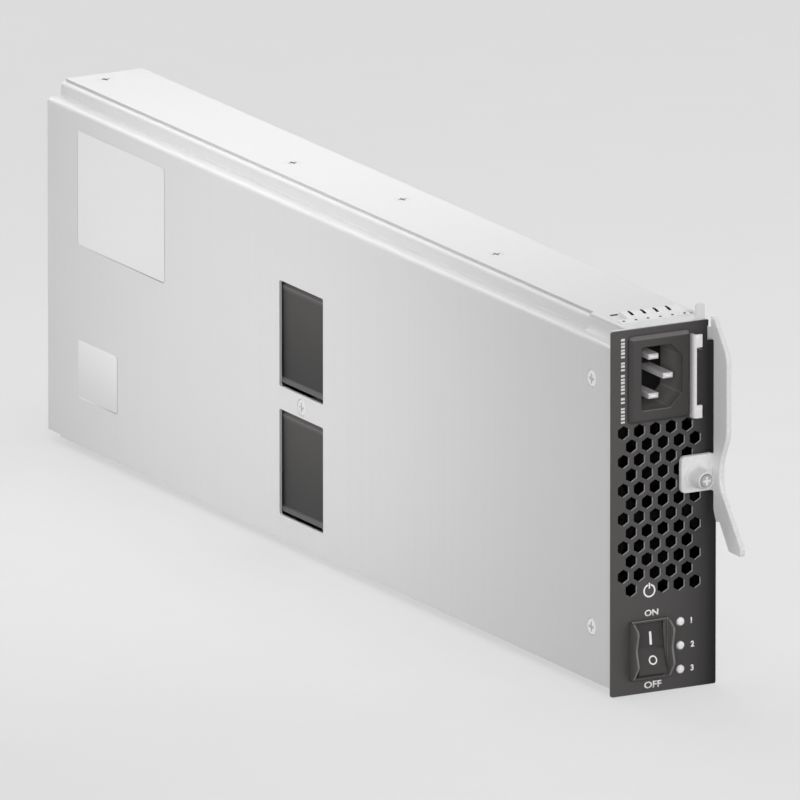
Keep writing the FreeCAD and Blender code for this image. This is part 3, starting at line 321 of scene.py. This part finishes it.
# Left-hand faces of the guards, lighter than the moulding and lighter still to the right: painted light.
guard_flank_painted_light = shaded_finish(
    "guard_flank_painted_light", "X", switch_low.x, switch_high.x,
    [(0.0, (0.122, 0.116, 0.114)), (0.5, (0.150, 0.143, 0.140)), (1.0, (0.180, 0.172, 0.168))],
    rough=(0.45, 0.55), scale=1800.0, gloss=0.3)
# Dark cases seen through the side windows, with a light band near each window's top and foot and a dark line below
# the top band: painted highlights and painted shade.
potted_case_painted_light = shaded_finish(
    "potted_case_painted_light", "Z", window_foot, window_head,
    [(0.03, (0.105, 0.100, 0.097)), (0.07, (0.090, 0.085, 0.083)), (0.09, (0.012, 0.011, 0.011)),
     (0.50, (0.026, 0.024, 0.023)), (0.90, (0.044, 0.041, 0.040)), (0.95, (0.13, 0.124, 0.121))],
    rough=(0.42, 0.52), scale=1400.0, repeat=window_pitch)
# Label paper that grows lighter towards the large label's rear end and the small label's top: painted light.
label_film_painted_light = shaded_finish(
    "label_film_painted_light", "Y", large_label_low.y, large_label_high.y,
    [(0.0, grey(0.772)), (1.0, grey(0.852))],
    rough=(0.42, 0.50), scale=1500.0, speck=0.02, relief=0.05)
small_label_film_painted_light = shaded_finish(
    "small_label_film_painted_light", "Z", small_label_low.z, small_label_high.z,
    [(0.0, grey(0.706)), (0.5, grey(0.778)), (1.0, grey(0.862))],
    rough=(0.42, 0.50), scale=1500.0, speck=0.02, relief=0.05)
# A painted shadow along the labels' lower rims, darkest at the front end.
large_label_painted_shadow = shaded_finish(
    "large_label_painted_shadow", "Y", large_label_low.y, large_label_high.y,
    [(0.0, grey(0.30)), (0.5, grey(0.50)), (1.0, grey(0.72))],
    rough=(0.5, 0.6), scale=1500.0)
small_label_painted_shadow = shaded_finish(
    "small_label_painted_shadow", "Y", small_label_low.y, small_label_high.y,
    [(0.0, grey(0.36)), (0.4, grey(0.66)), (0.7, grey(0.86)), (1.0, grey(0.92))],
    rough=(0.5, 0.6), scale=1500.0)


# Nodes that are seen as they are, without a piece in their place

plain_nodes = (
    (sheet_steel, ("side_cover", "rear_panel")),
    (contact_metal, ("switch_terminals", "output_contacts")),
    (screw_metal, ("lever_pivot_pin", "screw_collar", "board_standoffs", "cover_post")),
    (fan_black_and_shade, ("lower_fan_frame", "upper_fan_frame", "lower_fan_rotor", "upper_fan_rotor")),
    (board_green, ("main_board", "indicator_board")),
    (potted_case_painted_light, ("main_transformer", "pfc_choke")),
    (winding_wire, ("filter_choke",)),
    (film_case, ("filter_capacitors",)),
    (can_sleeve, ("bulk_capacitors", "output_capacitors")),
    (sink_aluminium, ("primary_heatsink", "secondary_heatsink")),
)
for finish, names in plain_nodes:
    for name in names:
        nodes[name].data.materials.clear()
        nodes[name].data.materials.append(finish)


# Making of pieces

def in_scene(name, data):
    """A new object in the scene."""
    item = bpy.data.objects.new(name, data)
    bpy.context.scene.collection.objects.link(item)
    return item


def finished_piece(name, shape, finishes, body):
    """An object of a finished shape, in place, that rides on a body of the module."""
    mesh = bpy.data.meshes.new(name)
    shape.to_mesh(mesh)
    shape.free()
    for finish in finishes:
        mesh.materials.append(finish)
    piece = in_scene(name, mesh)
    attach(piece, body)
    return piece


def softened(node, finishes, body, edge, round_area=4e-6, tests=(), change=None):
    """The node's own shape with its sharp edges broken. Faces that pass a test take its finish."""
    shape = bmesh.new()
    shape.from_mesh(nodes[node].data)
    bmesh.ops.remove_doubles(shape, verts=shape.verts[:], dist=node_weld)
    bmesh.ops.dissolve_limit(shape, angle_limit=flat_turn, verts=shape.verts[:],
                             edges=shape.edges[:])
    if change is not None:
        change(shape)
    sharp = [rim for rim in shape.edges
             if rim.is_manifold and rim.calc_face_angle(0.0) > sharp_turn]
    if edge > 0:
        bmesh.ops.bevel(shape, geom=sharp, offset=edge / 1000, offset_type="OFFSET", affect="EDGES",
                        segments=2, profile=0.5, material=-1, clamp_overlap=False)
    else:
        for rim in sharp:
            rim.smooth = False
    for face in shape.faces:
        face.smooth = face.calc_area() < round_area
        passed = [i + 1 for i, test in enumerate(tests) if test(face)]
        face.material_index = passed[0] if passed else 0
    piece = finished_piece(node + "_softened", shape, finishes, body)
    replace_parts(piece, node)
    return piece


# Case and face plate: tests for faces with a finish of their own, and changes of shape

def bare_edge_and_painted_highlight(face):
    """Walls of the plate's holes, in bare metal, and the fine rim along its right and lower edges, light as a
    painted highlight.
    """
    middle = face.calc_center_median()
    right, low = middle.x > plate_high.x - plate_rim, middle.z < plate_low.z + plate_rim
    if right or low:
        return -0.95 < face.normal.y < -0.05 and (face.normal.x > 0.1 or face.normal.z < -0.1)
    outer = middle.x < plate_low.x + plate_rim or middle.z > plate_high.z - plate_rim
    return abs(face.normal.y) < 0.3 and not outer


def top_sheet_edge(face):
    """Cut edge of the tray's top, beside the step, which takes a darker grey: painted shade."""
    return face.normal.x < -0.6 and face.calc_center_median().z > top_edge_foot


def slot_offset(place):
    """How far a place on the sheet lies from the middle of the slot beside the spring strip."""
    return place.x * 1000 - slot_middle[0], place.y * 1000 - plate_front - slot_middle[1]


# Walls of the slot beside the spring strip, which take near-black painted shade.
def top_slot_wall(face):
    middle = face.calc_center_median()
    across, along = slot_offset(middle)
    near = abs(across) < slot_reach[0] and abs(along) < slot_reach[1]
    return near and middle.z > top_sheet_foot and face.normal.z < 0.9


def open_top_slot(shape):
    """Set the slot's front wall further out."""
    front = []
    for point in shape.verts:
        across, along = slot_offset(point.co)
        near = abs(across) < slot_half[0] and -slot_half[1] < along < 0
        if near and point.co.z > top_sheet_foot:
            front.append(point)
    bmesh.ops.translate(shape, vec=(0, -slot_push / 1000, 0), verts=front)


def slit_wall(face):
    """Walls of the slits between the spring strip's fingers, which take near-black painted shade."""
    middle = middle_mm(face)
    between = strip_ends[0] < middle.x < strip_ends[1]
    return between and abs(face.normal.x) > 0.8 and middle.z > slit_foot


def open_slits(shape):
    """Set the slits' walls further apart, and the arch's left end further in."""
    pushes = {point: arch_left_push for point in shape.verts
              if abs(point.co.x * 1000 - arch_left) < arch_left_reach}
    for face in filter(slit_wall, shape.faces):
        pushes.update({point: -face.normal.x * slit_push for point in face.verts})
    for point, push in pushes.items():
        bmesh.ops.translate(shape, vec=(push / 1000, 0, 0), verts=[point])


# Faces of the lever that look forward, which take the darker copy of its metal: painted shade.
def looks_forward(face):
    return face.normal.y < -0.25


# Edges of a label, which take the mid grey of painted shade.
def label_side(face):
    return abs(face.normal.x) < 0.9


def label_foot_rim(face):
    """Rim along the lower edge of either label, which takes a painted shadow."""
    middle = face.calc_center_median()
    from_foot = [middle.z - low.z for low in (large_label_low, small_label_low)]
    in_rim = any(0 < rise < label_rim_width / 1000 for rise in from_foot)
    return in_rim and face.normal.x < -0.5


# Rim at the large label's rear end, which takes the mid grey of painted shade.
def large_label_rear_rim(face):
    rim_start = large_label_high.y - label_rim_width / 1000
    return face.normal.x < -0.5 and face.calc_center_median().y > rim_start


def rim_label(shape):
    """A narrow rim round a label's outer face."""
    outer = [face for face in shape.faces if face.normal.x < -0.9]
    bmesh.ops.inset_region(shape, faces=outer, thickness=label_rim_width / 1000,
                           use_even_offset=True)


# Inlet and switch: tests for faces with a finish of their own, and a change of shape

def inside_inlet(face):
    """Walls and back of the inlet's cavity, which take painted light and shade by depth."""
    middle = face.calc_center_median()
    from_left, from_right = middle.x - inlet_low.x, inlet_high.x - middle.x
    from_foot, from_head = middle.z - inlet_low.z, inlet_high.z - middle.z
    deep = middle.y > inlet_low.y + inlet_lip
    return deep and min(from_left, from_right, from_foot, from_head) > inlet_wall


def inlet_ridge(face):
    """Upper bevel of the inlet's flange, which takes a lighter grey: a painted highlight."""
    before_plate = face.calc_center_median().y < plate_low.y
    return before_plate and face.normal.z > 0.3 and face.normal.y < 0.1


def inside_switch(face):
    """Walls and floor of the switch's well, up to the guards' inner faces, which take painted light that grows
    lighter deeper in.
    """
    middle = middle_mm(face)
    in_width = abs(middle.x - switch_middle[0]) < well_half_width
    in_height = abs(middle.z - switch_middle[1]) < well_half_height
    wall = in_height and face.normal.y > -0.3
    return in_width and (wall or middle.y > plate_front + well_depth)


def switch_ridge(face):
    """Crests of the switch's guards, and the upper bevel of its bezel, which take a lighter grey: a painted
    highlight.
    """
    middle = middle_mm(face)
    high = middle.y < plate_front - guard_crest
    crest = high and face.normal.y < -0.3 and abs(face.normal.x) < 0.8
    at_head = middle.z > switch_middle[1] + bezel_upper
    return crest or at_head and face.normal.z > 0.3 and face.normal.y < -0.2


def guard_flank(face):
    """Left-hand faces of the switch's guards, which take a lighter grey, more so to the right: painted light."""
    return face.normal.x < -0.5 and middle_mm(face).y < plate_front - guard_foot


def rocker_upper_end(face):
    """Rounded edge at the rocker's upper end, which takes a lighter grey: a painted highlight."""
    return middle_mm(face).z > switch_middle[1] + rocker_upper


def fill_well(shape):
    """Bring the rocker's sides and ends nearer to the walls of its well."""
    pivot = at(switch_middle[0], rocker_pivot_depth, switch_middle[1])
    from_pivot = Matrix.Translation(-pivot)
    sides = [point for point in shape.verts
             if abs(abs(point.co.x - pivot.x) * 1000 - rocker_half_width) < rocker_fill_reach]
    wider = 1 + rocker_fill / rocker_half_width
    bmesh.ops.scale(shape, vec=(wider, 1, 1), space=from_pivot, verts=sides)
    ends = [point for point in shape.verts
            if (point.co - pivot).yz.length * 1000 > rocker_end_radius - rocker_fill_reach]
    longer = 1 + rocker_fill / rocker_end_radius
    bmesh.ops.scale(shape, vec=(1, longer, longer), space=from_pivot, verts=ends)


# Pieces that keep their node's shape

softened("chassis_tray", [sheet_steel, sheet_edge_shade, painted_shade_black], "module", edge=0.08,
         round_area=1e-6, tests=[top_sheet_edge, top_slot_wall], change=open_top_slot)
softened("face_plate", [plate_paint_with_shade, plate_edge_and_highlight], "module", edge=0.12,
         tests=[bare_edge_and_painted_highlight])
softened("inlet_housing", [inlet_moulding_painted_shade, inlet_cavity_painted_light, moulding_painted_highlight], "module",
         edge=0.3, tests=[inside_inlet, inlet_ridge])
for blade in ("line", "neutral", "earth"):
    softened("inlet_" + blade + "_blade", [contact_metal], "module", edge=0.2)
softened("cord_retainer_bracket", [contact_metal], "module", edge=0.2)
softened("switch_housing", [black_moulding, switch_well_painted_light, guard_painted_highlight, guard_flank_painted_light], "module",
         edge=0.25, tests=[inside_switch, switch_ridge, guard_flank])
softened("emi_finger_strip", [spring_metal, painted_shade_black], "module", edge=0.0,
         round_area=1e-3, tests=[slit_wall], change=open_slits)
softened("switch_rocker", [rocker_gloss, moulding_painted_highlight], "switch_rocker", edge=0.35,
         tests=[rocker_upper_end], change=fill_well)
softened("ejector_lever", [lever_metal, lever_shade_and_cross_light], "ejector_lever", edge=0.3,
         tests=[looks_forward])
softened("screw_ferrule", [lever_metal], "ejector_lever", edge=0.35)
softened("front_frame", [sheet_steel], "module", edge=0.15)
softened("output_connector", [black_moulding], "module", edge=0.3)
softened("large_label", [label_film_painted_light, large_label_painted_shadow, label_rim_shade, label_rim_shade], "module",
         edge=0.08, tests=[label_foot_rim, large_label_rear_rim, label_side], change=rim_label)
softened("small_label", [small_label_film_painted_light, small_label_painted_shadow, label_rim_shade], "module",
         edge=0.08, tests=[label_foot_rim, label_side], change=rim_label)


# Making of shapes in millimetres

def to_metres(shape):
    bmesh.ops.scale(shape, vec=(millimetre, millimetre, millimetre), verts=shape.verts[:])
    return shape


def placed(shape, facing, place):
    """Turn a shape that looks up to its facing, and move it to its place."""
    turns = {"up": Matrix(), "left": Matrix.Rotation(math.radians(-90), 4, "Y"),
             "front": Matrix.Rotation(math.radians(90), 4, "X")}
    bmesh.ops.transform(shape, matrix=Matrix.Translation(place) @ turns[facing],
                        verts=shape.verts[:])
    return shape


def gathered(shapes):
    """Several shapes as one."""
    whole = bmesh.new()
    for shape in shapes:
        part = bpy.data.meshes.new("gathered_part")
        shape.to_mesh(part)
        shape.free()
        whole.from_mesh(part)
        bpy.data.meshes.remove(part)
    return whole


def points_of(made):
    """The points among what an operator has made."""
    return [part for part in made["geom"] if isinstance(part, bmesh.types.BMVert)]


def turned_shape(profile, steps):
    """A profile of (radius, height) turned about an upright axis, with smooth faces."""
    shape = bmesh.new()
    points = [shape.verts.new((radius, 0, height)) for radius, height in profile]
    lines = [shape.edges.new(pair) for pair in zip(points, points[1:])]
    bmesh.ops.spin(shape, geom=points + lines, axis=(0, 0, 1), cent=(0, 0, 0), angle=2 * math.pi,
                   steps=steps, use_merge=True, use_duplicate=False)
    bmesh.ops.remove_doubles(shape, verts=shape.verts[:], dist=turned_weld)
    bmesh.ops.recalc_face_normals(shape, faces=shape.faces[:])
    for face in shape.faces:
        face.smooth = True
    return to_metres(shape)


# Screws with a cross recess

def recessed_screw(radius, edge, steps, arm, half_width, depth):
    """A screw that looks up: a flat face with a tapered cross recess, and stepped sides."""
    shape = bmesh.new()
    bmesh.ops.create_grid(shape, x_segments=1, y_segments=1, size=half_width)
    for side in shape.edges[:]:
        outwards = (side.verts[0].co + side.verts[1].co).normalized()
        tips = points_of(bmesh.ops.extrude_edge_only(shape, edges=[side]))
        bmesh.ops.translate(shape, vec=outwards * (arm - half_width), verts=tips)
    cross = bmesh.ops.dissolve_faces(shape, faces=shape.faces[:])["region"]
    recess = bmesh.ops.extrude_discrete_faces(shape, faces=cross)["faces"]
    bmesh.ops.translate(shape, vec=(0, 0, -depth), verts=recess[0].verts[:])
    bmesh.ops.scale(shape, vec=(recess_taper, recess_taper, 1.0), verts=recess[0].verts[:])
    for face in shape.faces:
        face.material_index = 1
    cross_rim = [rim for rim in shape.edges if all(abs(v.co.z) < level_gap for v in rim.verts)]
    wide, low = radius - edge, 0.0
    ring = bmesh.ops.create_circle(shape, segments=screw_steps, radius=wide)["verts"]
    ring_rim = [rim for rim in shape.edges if all(v in ring for v in rim.verts)]
    bmesh.ops.triangle_fill(shape, use_beauty=True, edges=cross_rim + ring_rim, normal=(0, 0, 1))
    for next_wide, next_low in [(radius, -edge)] + steps:
        made = bmesh.ops.extrude_edge_only(shape, edges=ring_rim)
        ring = points_of(made)
        ring_rim = [part for part in made["geom"] if isinstance(part, bmesh.types.BMEdge)
                    and all(v in ring for v in part.verts)]
        bmesh.ops.scale(shape, vec=(next_wide / wide, next_wide / wide, 1.0), verts=ring)
        bmesh.ops.translate(shape, vec=(0, 0, next_low - low), verts=ring)
        wide, low = next_wide, next_low
    bmesh.ops.contextual_create(shape, geom=ring_rim)
    bmesh.ops.recalc_face_normals(shape, faces=shape.faces[:])
    return to_metres(shape)


def thread_ridge(root, crest, pitch, low, high):
    """A screw thread round an upright axis."""
    shape = bmesh.new()
    foot = shape.verts.new((root, 0, low - pitch * thread_flank))
    tip = shape.verts.new((crest, 0, low))
    head = shape.verts.new((root, 0, low + pitch * thread_flank))
    flanks = [shape.edges.new((foot, tip)), shape.edges.new((tip, head))]
    turns = (high - low) / pitch
    steps = int(thread_steps * turns)
    bmesh.ops.spin(shape, geom=[foot, tip, head] + flanks, axis=(0, 0, 1), cent=(0, 0, 0),
                   dvec=(0, 0, (high - low) / steps), angle=2 * math.pi * turns, steps=steps,
                   use_merge=False, use_duplicate=False)
    bmesh.ops.recalc_face_normals(shape, faces=shape.faces[:])
    return to_metres(shape)


top_screw_sides = [(2.7, -1.0), (1.5, -1.0001), (1.5, -5.0)]
top_heads = gathered([
    placed(recessed_screw(radius=2.7, edge=0.08, steps=top_screw_sides, arm=1.7, half_width=0.36,
                          depth=0.7), "up", at(x, y, top_height))
    for x, y in top_screw_places])
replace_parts(finished_piece("top_screw_set", top_heads, [sheet_steel, screw_recess_painted_shade], "module"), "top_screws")
side_screw_sides = [(3.05, -1.0), (1.5, -1.0001), (1.5, -6.0)]
side_heads = gathered([
    placed(recessed_screw(radius=3.05, edge=0.3, steps=side_screw_sides, arm=1.8, half_width=0.45,
                          depth=0.35), "left", at(side_screw_face, y, z))
    for y, z in side_screw_places])
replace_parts(finished_piece("side_screw_set", side_heads, [side_screw_zinc, screw_metal], "module"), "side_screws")
captive_sides = [(2.2, -2.2), (1.45, -2.2001), (1.45, -5.0), (1.2, -5.0001), (1.2, -11.4),
                 (0.9, -11.7)]
captive_head = gathered([
    recessed_screw(radius=2.2, edge=0.2, steps=captive_sides, arm=1.55, half_width=0.45, depth=0.4),
    thread_ridge(root=1.15, crest=1.44, pitch=0.5, low=-11.1, high=-6.3)])
placed(captive_head, "front", at(*captive_screw_place))
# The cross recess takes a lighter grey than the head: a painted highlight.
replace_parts(finished_piece("captive_screw_cross", captive_head, [captive_metal, lever_shade_and_cross_light],
                           "captive_screw"), "captive_screw")


# Light pipes

lens_profile = [(0.0, 0.45), (0.45, 0.43), (0.85, 0.36), (1.15, 0.25), (1.34, 0.10), (1.40, -0.10),
                (1.50, -0.25), (1.50, -4.0), (1.50, -8.0), (0.0, -8.0)]
for light, height in zip(("upper", "middle", "lower"), light_heights):
    dome = placed(turned_shape(lens_profile, lens_steps), "front", at(light_x, 0.0, height))
    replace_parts(finished_piece(light + "_light_lens", dome, [lens], "module"),
                light + "_light_pipe")


# Rivets of the spring strip, near black as painted shade, and a near-black core under its arch, painted shade for
# the inside of the arch

rivet_profile = [(0.0, 0.62), (0.28, 0.56), (0.48, 0.40), (0.56, 0.22), (0.44, 0.20), (0.42, -0.6),
                 (0.0, -0.6)]
# The rivets' near-black finish is painted shade.
rivets = gathered([
    placed(turned_shape(rivet_profile, rivet_steps), "up",
           at(first_rivet[0] + i * rivet_pitch, first_rivet[1], top_height))
    for i in range(rivet_count)])
finished_piece("strip_rivets", rivets, [rivet_steel_painted_shade], "module")


def flat_bar(left, right, bottom, top):
    shape = bmesh.new()
    bmesh.ops.create_grid(shape, x_segments=1, y_segments=1, size=0.5)
    bmesh.ops.scale(shape, vec=(right - left, top - bottom, 1.0), verts=shape.verts[:])
    bmesh.ops.translate(shape, vec=((left + right) / 2, (bottom + top) / 2, 0.0),
                        verts=shape.verts[:])
    return shape


def rounded_slab(width, length, height, radius):
    """A slab with rounded upper edges, on the middle of its foot."""
    shape = flat_bar(-width / 2, width / 2, -length / 2, length / 2)
    top = points_of(bmesh.ops.extrude_face_region(shape, geom=shape.faces[:], use_keep_orig=True))
    bmesh.ops.translate(shape, vec=(0, 0, height), verts=top)
    bmesh.ops.recalc_face_normals(shape, faces=shape.faces[:])
    upper = [rim for rim in shape.edges if all(v.co.z > height / 2 for v in rim.verts)]
    bmesh.ops.bevel(shape, geom=upper, offset=radius, offset_type="OFFSET", affect="EDGES",
                    segments=3, profile=0.5, material=-1, clamp_overlap=True)
    return to_metres(shape)


# A near-black core under the arch: painted shade for the inside of the arch.
core = placed(rounded_slab(*core_size, core_round), "up", at(*core_place))
finished_piece("strip_shade_core", core, [painted_shade_black], "module")


# Marks in ink

def flat_text(words, left, bottom, top, right=None, weight=0.03):
    """Words as a flat shape, in their own proportions or drawn out to the right."""
    curve = bpy.data.curves.new("mark_words", "FONT")
    curve.body = words
    curve.offset = weight
    lettering = in_scene("mark_words", curve)
    bpy.context.view_layer.update()
    mesh = bpy.data.meshes.new_from_object(lettering)
    shape = bmesh.new()
    shape.from_mesh(mesh)
    bpy.data.objects.remove(lettering)
    bpy.data.curves.remove(curve)
    bpy.data.meshes.remove(mesh)
    bmesh.ops.remove_doubles(shape, verts=shape.verts[:], dist=text_weld)
    low = Vector((min(v.co.x for v in shape.verts), min(v.co.y for v in shape.verts), 0.0))
    high = Vector((max(v.co.x for v in shape.verts), max(v.co.y for v in shape.verts), 0.0))
    bmesh.ops.translate(shape, vec=-low, verts=shape.verts[:])
    tall = (top - bottom) / (high.y - low.y)
    wide = tall if right is None else (right - left) / (high.x - low.x)
    bmesh.ops.scale(shape, vec=(wide, tall, 1.0), verts=shape.verts[:])
    bmesh.ops.translate(shape, vec=(left, bottom, 0.0), verts=shape.verts[:])
    return shape


def flat_ring(x, z, outer, stroke, open_turn=0.0):
    """A ring, which may be open at its top."""
    shape = bmesh.new()
    first, second = (
        shape.verts.new((math.sin(open_turn) * radius, math.cos(open_turn) * radius, 0.0))
        for radius in (outer, outer - stroke))
    line = shape.edges.new((first, second))
    bmesh.ops.spin(shape, geom=[first, second, line], axis=(0, 0, -1), cent=(0, 0, 0),
                   angle=2 * math.pi - 2 * open_turn, steps=ring_steps,
                   use_merge=open_turn == 0.0, use_duplicate=False)
    bmesh.ops.translate(shape, vec=(x, z, 0.0), verts=shape.verts[:])
    return shape


def inked(shapes, surface):
    """Flat shapes (x, height) raised as ink on a surface that gives the depth at each height."""
    whole = gathered(shapes)
    bmesh.ops.recalc_face_normals(whole, faces=whole.faces[:])
    for face in whole.faces:
        if face.normal.z < 0:
            face.normal_flip()
    for point in whole.verts:
        point.co = Vector((point.co.x, surface(point.co.y) - ink_thickness, point.co.y))
    backs = points_of(bmesh.ops.extrude_face_region(whole, geom=whole.faces[:], use_keep_orig=True))
    bmesh.ops.translate(whole, vec=(0, ink_thickness, 0), verts=backs)
    bmesh.ops.recalc_face_normals(whole, faces=whole.faces[:])
    return whole


def on_plate(height):
    return 0.0


def on_rocker(height):
    """Depth of the rocker's two sloping faces before it is tilted, by height from its pivot."""
    return -rocker_waist - rocker_rise * abs(height) / rocker_end_radius


def print_on_plate(name, shapes, ink):
    """Flat shapes as ink on the plate's front."""
    marks = inked(shapes, on_plate)
    bmesh.ops.transform(marks, verts=marks.verts[:],
                        matrix=Matrix.Translation(at(0, 0, 0)) @ Matrix.Scale(millimetre, 4))
    finished_piece(name, marks, [ink], "module")


power_sign = [flat_ring(x=-5.65, z=36.4, outer=2.4, stroke=0.58, open_turn=math.radians(14)),
              flat_bar(left=-5.93, right=-5.37, bottom=37.1, top=39.2)]
words = [flat_text("ON", left=-7.5, bottom=27.35, top=29.65, right=-2.1),
         flat_text("OFF", left=-7.65, bottom=1.6, top=4.05, right=-0.76)]
numbers = [flat_text(str(i + 1), number_left, z - number_half, z + number_half,
                     weight=number_weight)
           for i, z in enumerate(light_heights)]
print_on_plate("plate_marks", words + power_sign + numbers, mark_ink)

rating_strokes = []
stroke_foot = rating_foot
for strokes in rating_groups:
    for stroke in range(strokes):
        stroke_head = stroke_foot + stroke_height + stroke_step * (stroke % 2)
        rating_strokes.append(flat_bar(rating_left, rating_right, stroke_foot, stroke_head))
        stroke_foot += stroke_pitch
    stroke_foot += group_gap
print_on_plate("rating_marks", rating_strokes, small_ink)

rocker_signs = [flat_bar(left=0.0, right=0.9, bottom=1.2, top=5.8),
                flat_ring(x=0.55, z=-4.2, outer=1.65, stroke=0.52)]
rocker_marks = inked(rocker_signs, on_rocker)
rocker_pivot = at(switch_middle[0], rocker_pivot_depth, switch_middle[1])
bmesh.ops.transform(
    rocker_marks,
    matrix=Matrix.Translation(rocker_pivot) @ Matrix.Rotation(rocker_tilt, 4, "X")
    @ Matrix.Scale(millimetre, 4) @ Matrix.Translation((0, -rocker_pivot_depth, 0)),
    verts=rocker_marks.verts[:])
finished_piece("rocker_marks", rocker_marks, [mark_ink], "switch_rocker")


# Camera at the photograph's angle

view_turn = math.radians(28.95102)
view_rise = math.radians(14.426177)
view_distance, view_end = 12.658228, 100.0
view_aim = Vector((-0.0720262, -0.1391687, 0.0995616))
lens_length, sensor_width = 1651.88, 36.0
right = Vector((math.cos(view_turn), -math.sin(view_turn), 0.0))
back = Vector((-math.sin(view_turn) * math.cos(view_rise),
               -math.cos(view_turn) * math.cos(view_rise), math.sin(view_rise)))
up = back.cross(right)
camera_data = bpy.data.cameras.new("photo_camera")
camera_data.lens = lens_length
camera_data.sensor_width = sensor_width
camera_data.clip_end = view_end
camera = in_scene("photo_camera", camera_data)
camera.matrix_world = Matrix.Translation(view_aim + back * view_distance) @ Matrix(
    (right, up, back)).transposed().to_4x4()
bpy.context.scene.camera = camera


# Floor and backdrop, pale to the camera and in mirrors, and darker as a source of light

floor_half, floor_drop, floor_paleness = 6.0, 0.0002, 0.55
room_strength, backdrop_strength = 0.20, 0.75
white = (1.0, 1.0, 1.0, 1.0)


def pale_rays(tree):
    """One for rays from the camera, mirrors and glass, and nought for light on the object."""
    rays = tree.nodes.new("ShaderNodeLightPath").outputs
    mirrors = math_node(tree, "MAXIMUM", rays["Is Glossy Ray"], rays["Is Transmission Ray"])
    return math_node(tree, "MAXIMUM", rays["Is Camera Ray"], mirrors)


def mixed_shader(tree, share, first, second, output):
    """Two shaders mixed by a share, as the surface of an output."""
    mix = tree.nodes.new("ShaderNodeMixShader")
    tree.links.new(share, mix.inputs["Fac"])
    tree.links.new(first, mix.inputs[1])
    tree.links.new(second, mix.inputs[2])
    tree.links.new(mix.outputs["Shader"], tree.nodes[output].inputs["Surface"])


floor_shape = bmesh.new()
bmesh.ops.create_grid(floor_shape, x_segments=1, y_segments=1, size=floor_half)
bmesh.ops.translate(floor_shape, vec=(0, 0, -floor_drop), verts=floor_shape.verts[:])
floor_data = bpy.data.meshes.new("studio_floor")
floor_shape.to_mesh(floor_data)
floor_shape.free()
floor = in_scene("studio_floor", floor_data)
floor_finish = grained_finish("floor_paper", grey(0.50), grey(0.52), (0.8, 0.9), scale=40.0)
floor_tree = floor_finish.node_tree
pale_share = floor_tree.nodes.new("ShaderNodeMapRange")
pale_share.inputs["To Max"].default_value = floor_paleness
floor_tree.links.new(pale_rays(floor_tree), pale_share.inputs["Value"])
pale_paper = floor_tree.nodes.new("ShaderNodeEmission")
pale_paper.inputs["Strength"].default_value = 1.0
mixed_shader(floor_tree, pale_share.outputs["Result"],
             floor_tree.nodes["Principled BSDF"].outputs["BSDF"],
             pale_paper.outputs["Emission"], "Material Output")
floor_data.materials.append(floor_finish)

world = bpy.data.worlds.new("studio_world")
bpy.context.scene.world = world
world.use_nodes = True
world_tree = world.node_tree
room_light = world_tree.nodes["Background"]
room_light.inputs["Color"].default_value = white
room_light.inputs["Strength"].default_value = room_strength
pale_backdrop = world_tree.nodes.new("ShaderNodeBackground")
pale_backdrop.inputs["Color"].default_value = white
pale_backdrop.inputs["Strength"].default_value = backdrop_strength
mixed_shader(world_tree, pale_rays(world_tree), room_light.outputs["Background"],
             pale_backdrop.outputs["Background"], "World Output")


# Lamps

def softbox(name, place, aim, width, height, watts, spread=180.0, mirrored=True):
    """A rectangular lamp that the camera doesn't see, and mirrors only where mirrored."""
    lamp = bpy.data.lights.new(name, "AREA")
    lamp.shape = "RECTANGLE"
    lamp.size = width
    lamp.size_y = height
    lamp.energy = watts
    lamp.spread = math.radians(spread)
    box = in_scene(name, lamp)
    box.location = place
    box.rotation_euler = (Vector(aim) - Vector(place)).to_track_quat("-Z", "Y").to_euler()
    box.visible_camera = False
    box.visible_glossy = mirrored


softbox("top_softbox", (0.1, 0.1, 1.6), (0.0, 0.0, 0.1), width=1.6, height=1.6, watts=5.5)
softbox("near_top_softbox", (0.02, 0.09, 0.43), (0.02, 0.09, 0.13), width=0.28, height=0.30,
        watts=0.75, mirrored=False)
softbox("left_softbox", (-0.45, 0.095, 0.16), (0.0, 0.065, 0.07), width=0.3, height=0.2,
        watts=0.26, spread=76.0, mirrored=False)
softbox("front_left_softbox", (-0.30, -0.62, 0.22), (0.0, -0.2, 0.07), width=0.3, height=0.3,
        watts=0.33, spread=90.0, mirrored=False)
softbox("front_softbox", (0.4, -1.5, 0.5), (0.0, -0.2, 0.07), width=1.0, height=0.8, watts=6.0)
softbox("right_softbox", (1.1, 0.0, 0.6), (0.0, 0.0, 0.07), width=0.9, height=0.7, watts=3.5)
softbox("back_softbox", (0.15, 1.5, 0.6), (0.0, 0.2, 0.07), width=0.9, height=0.7, watts=3.5)

bpy.context.scene.view_settings.view_transform = "Standard"
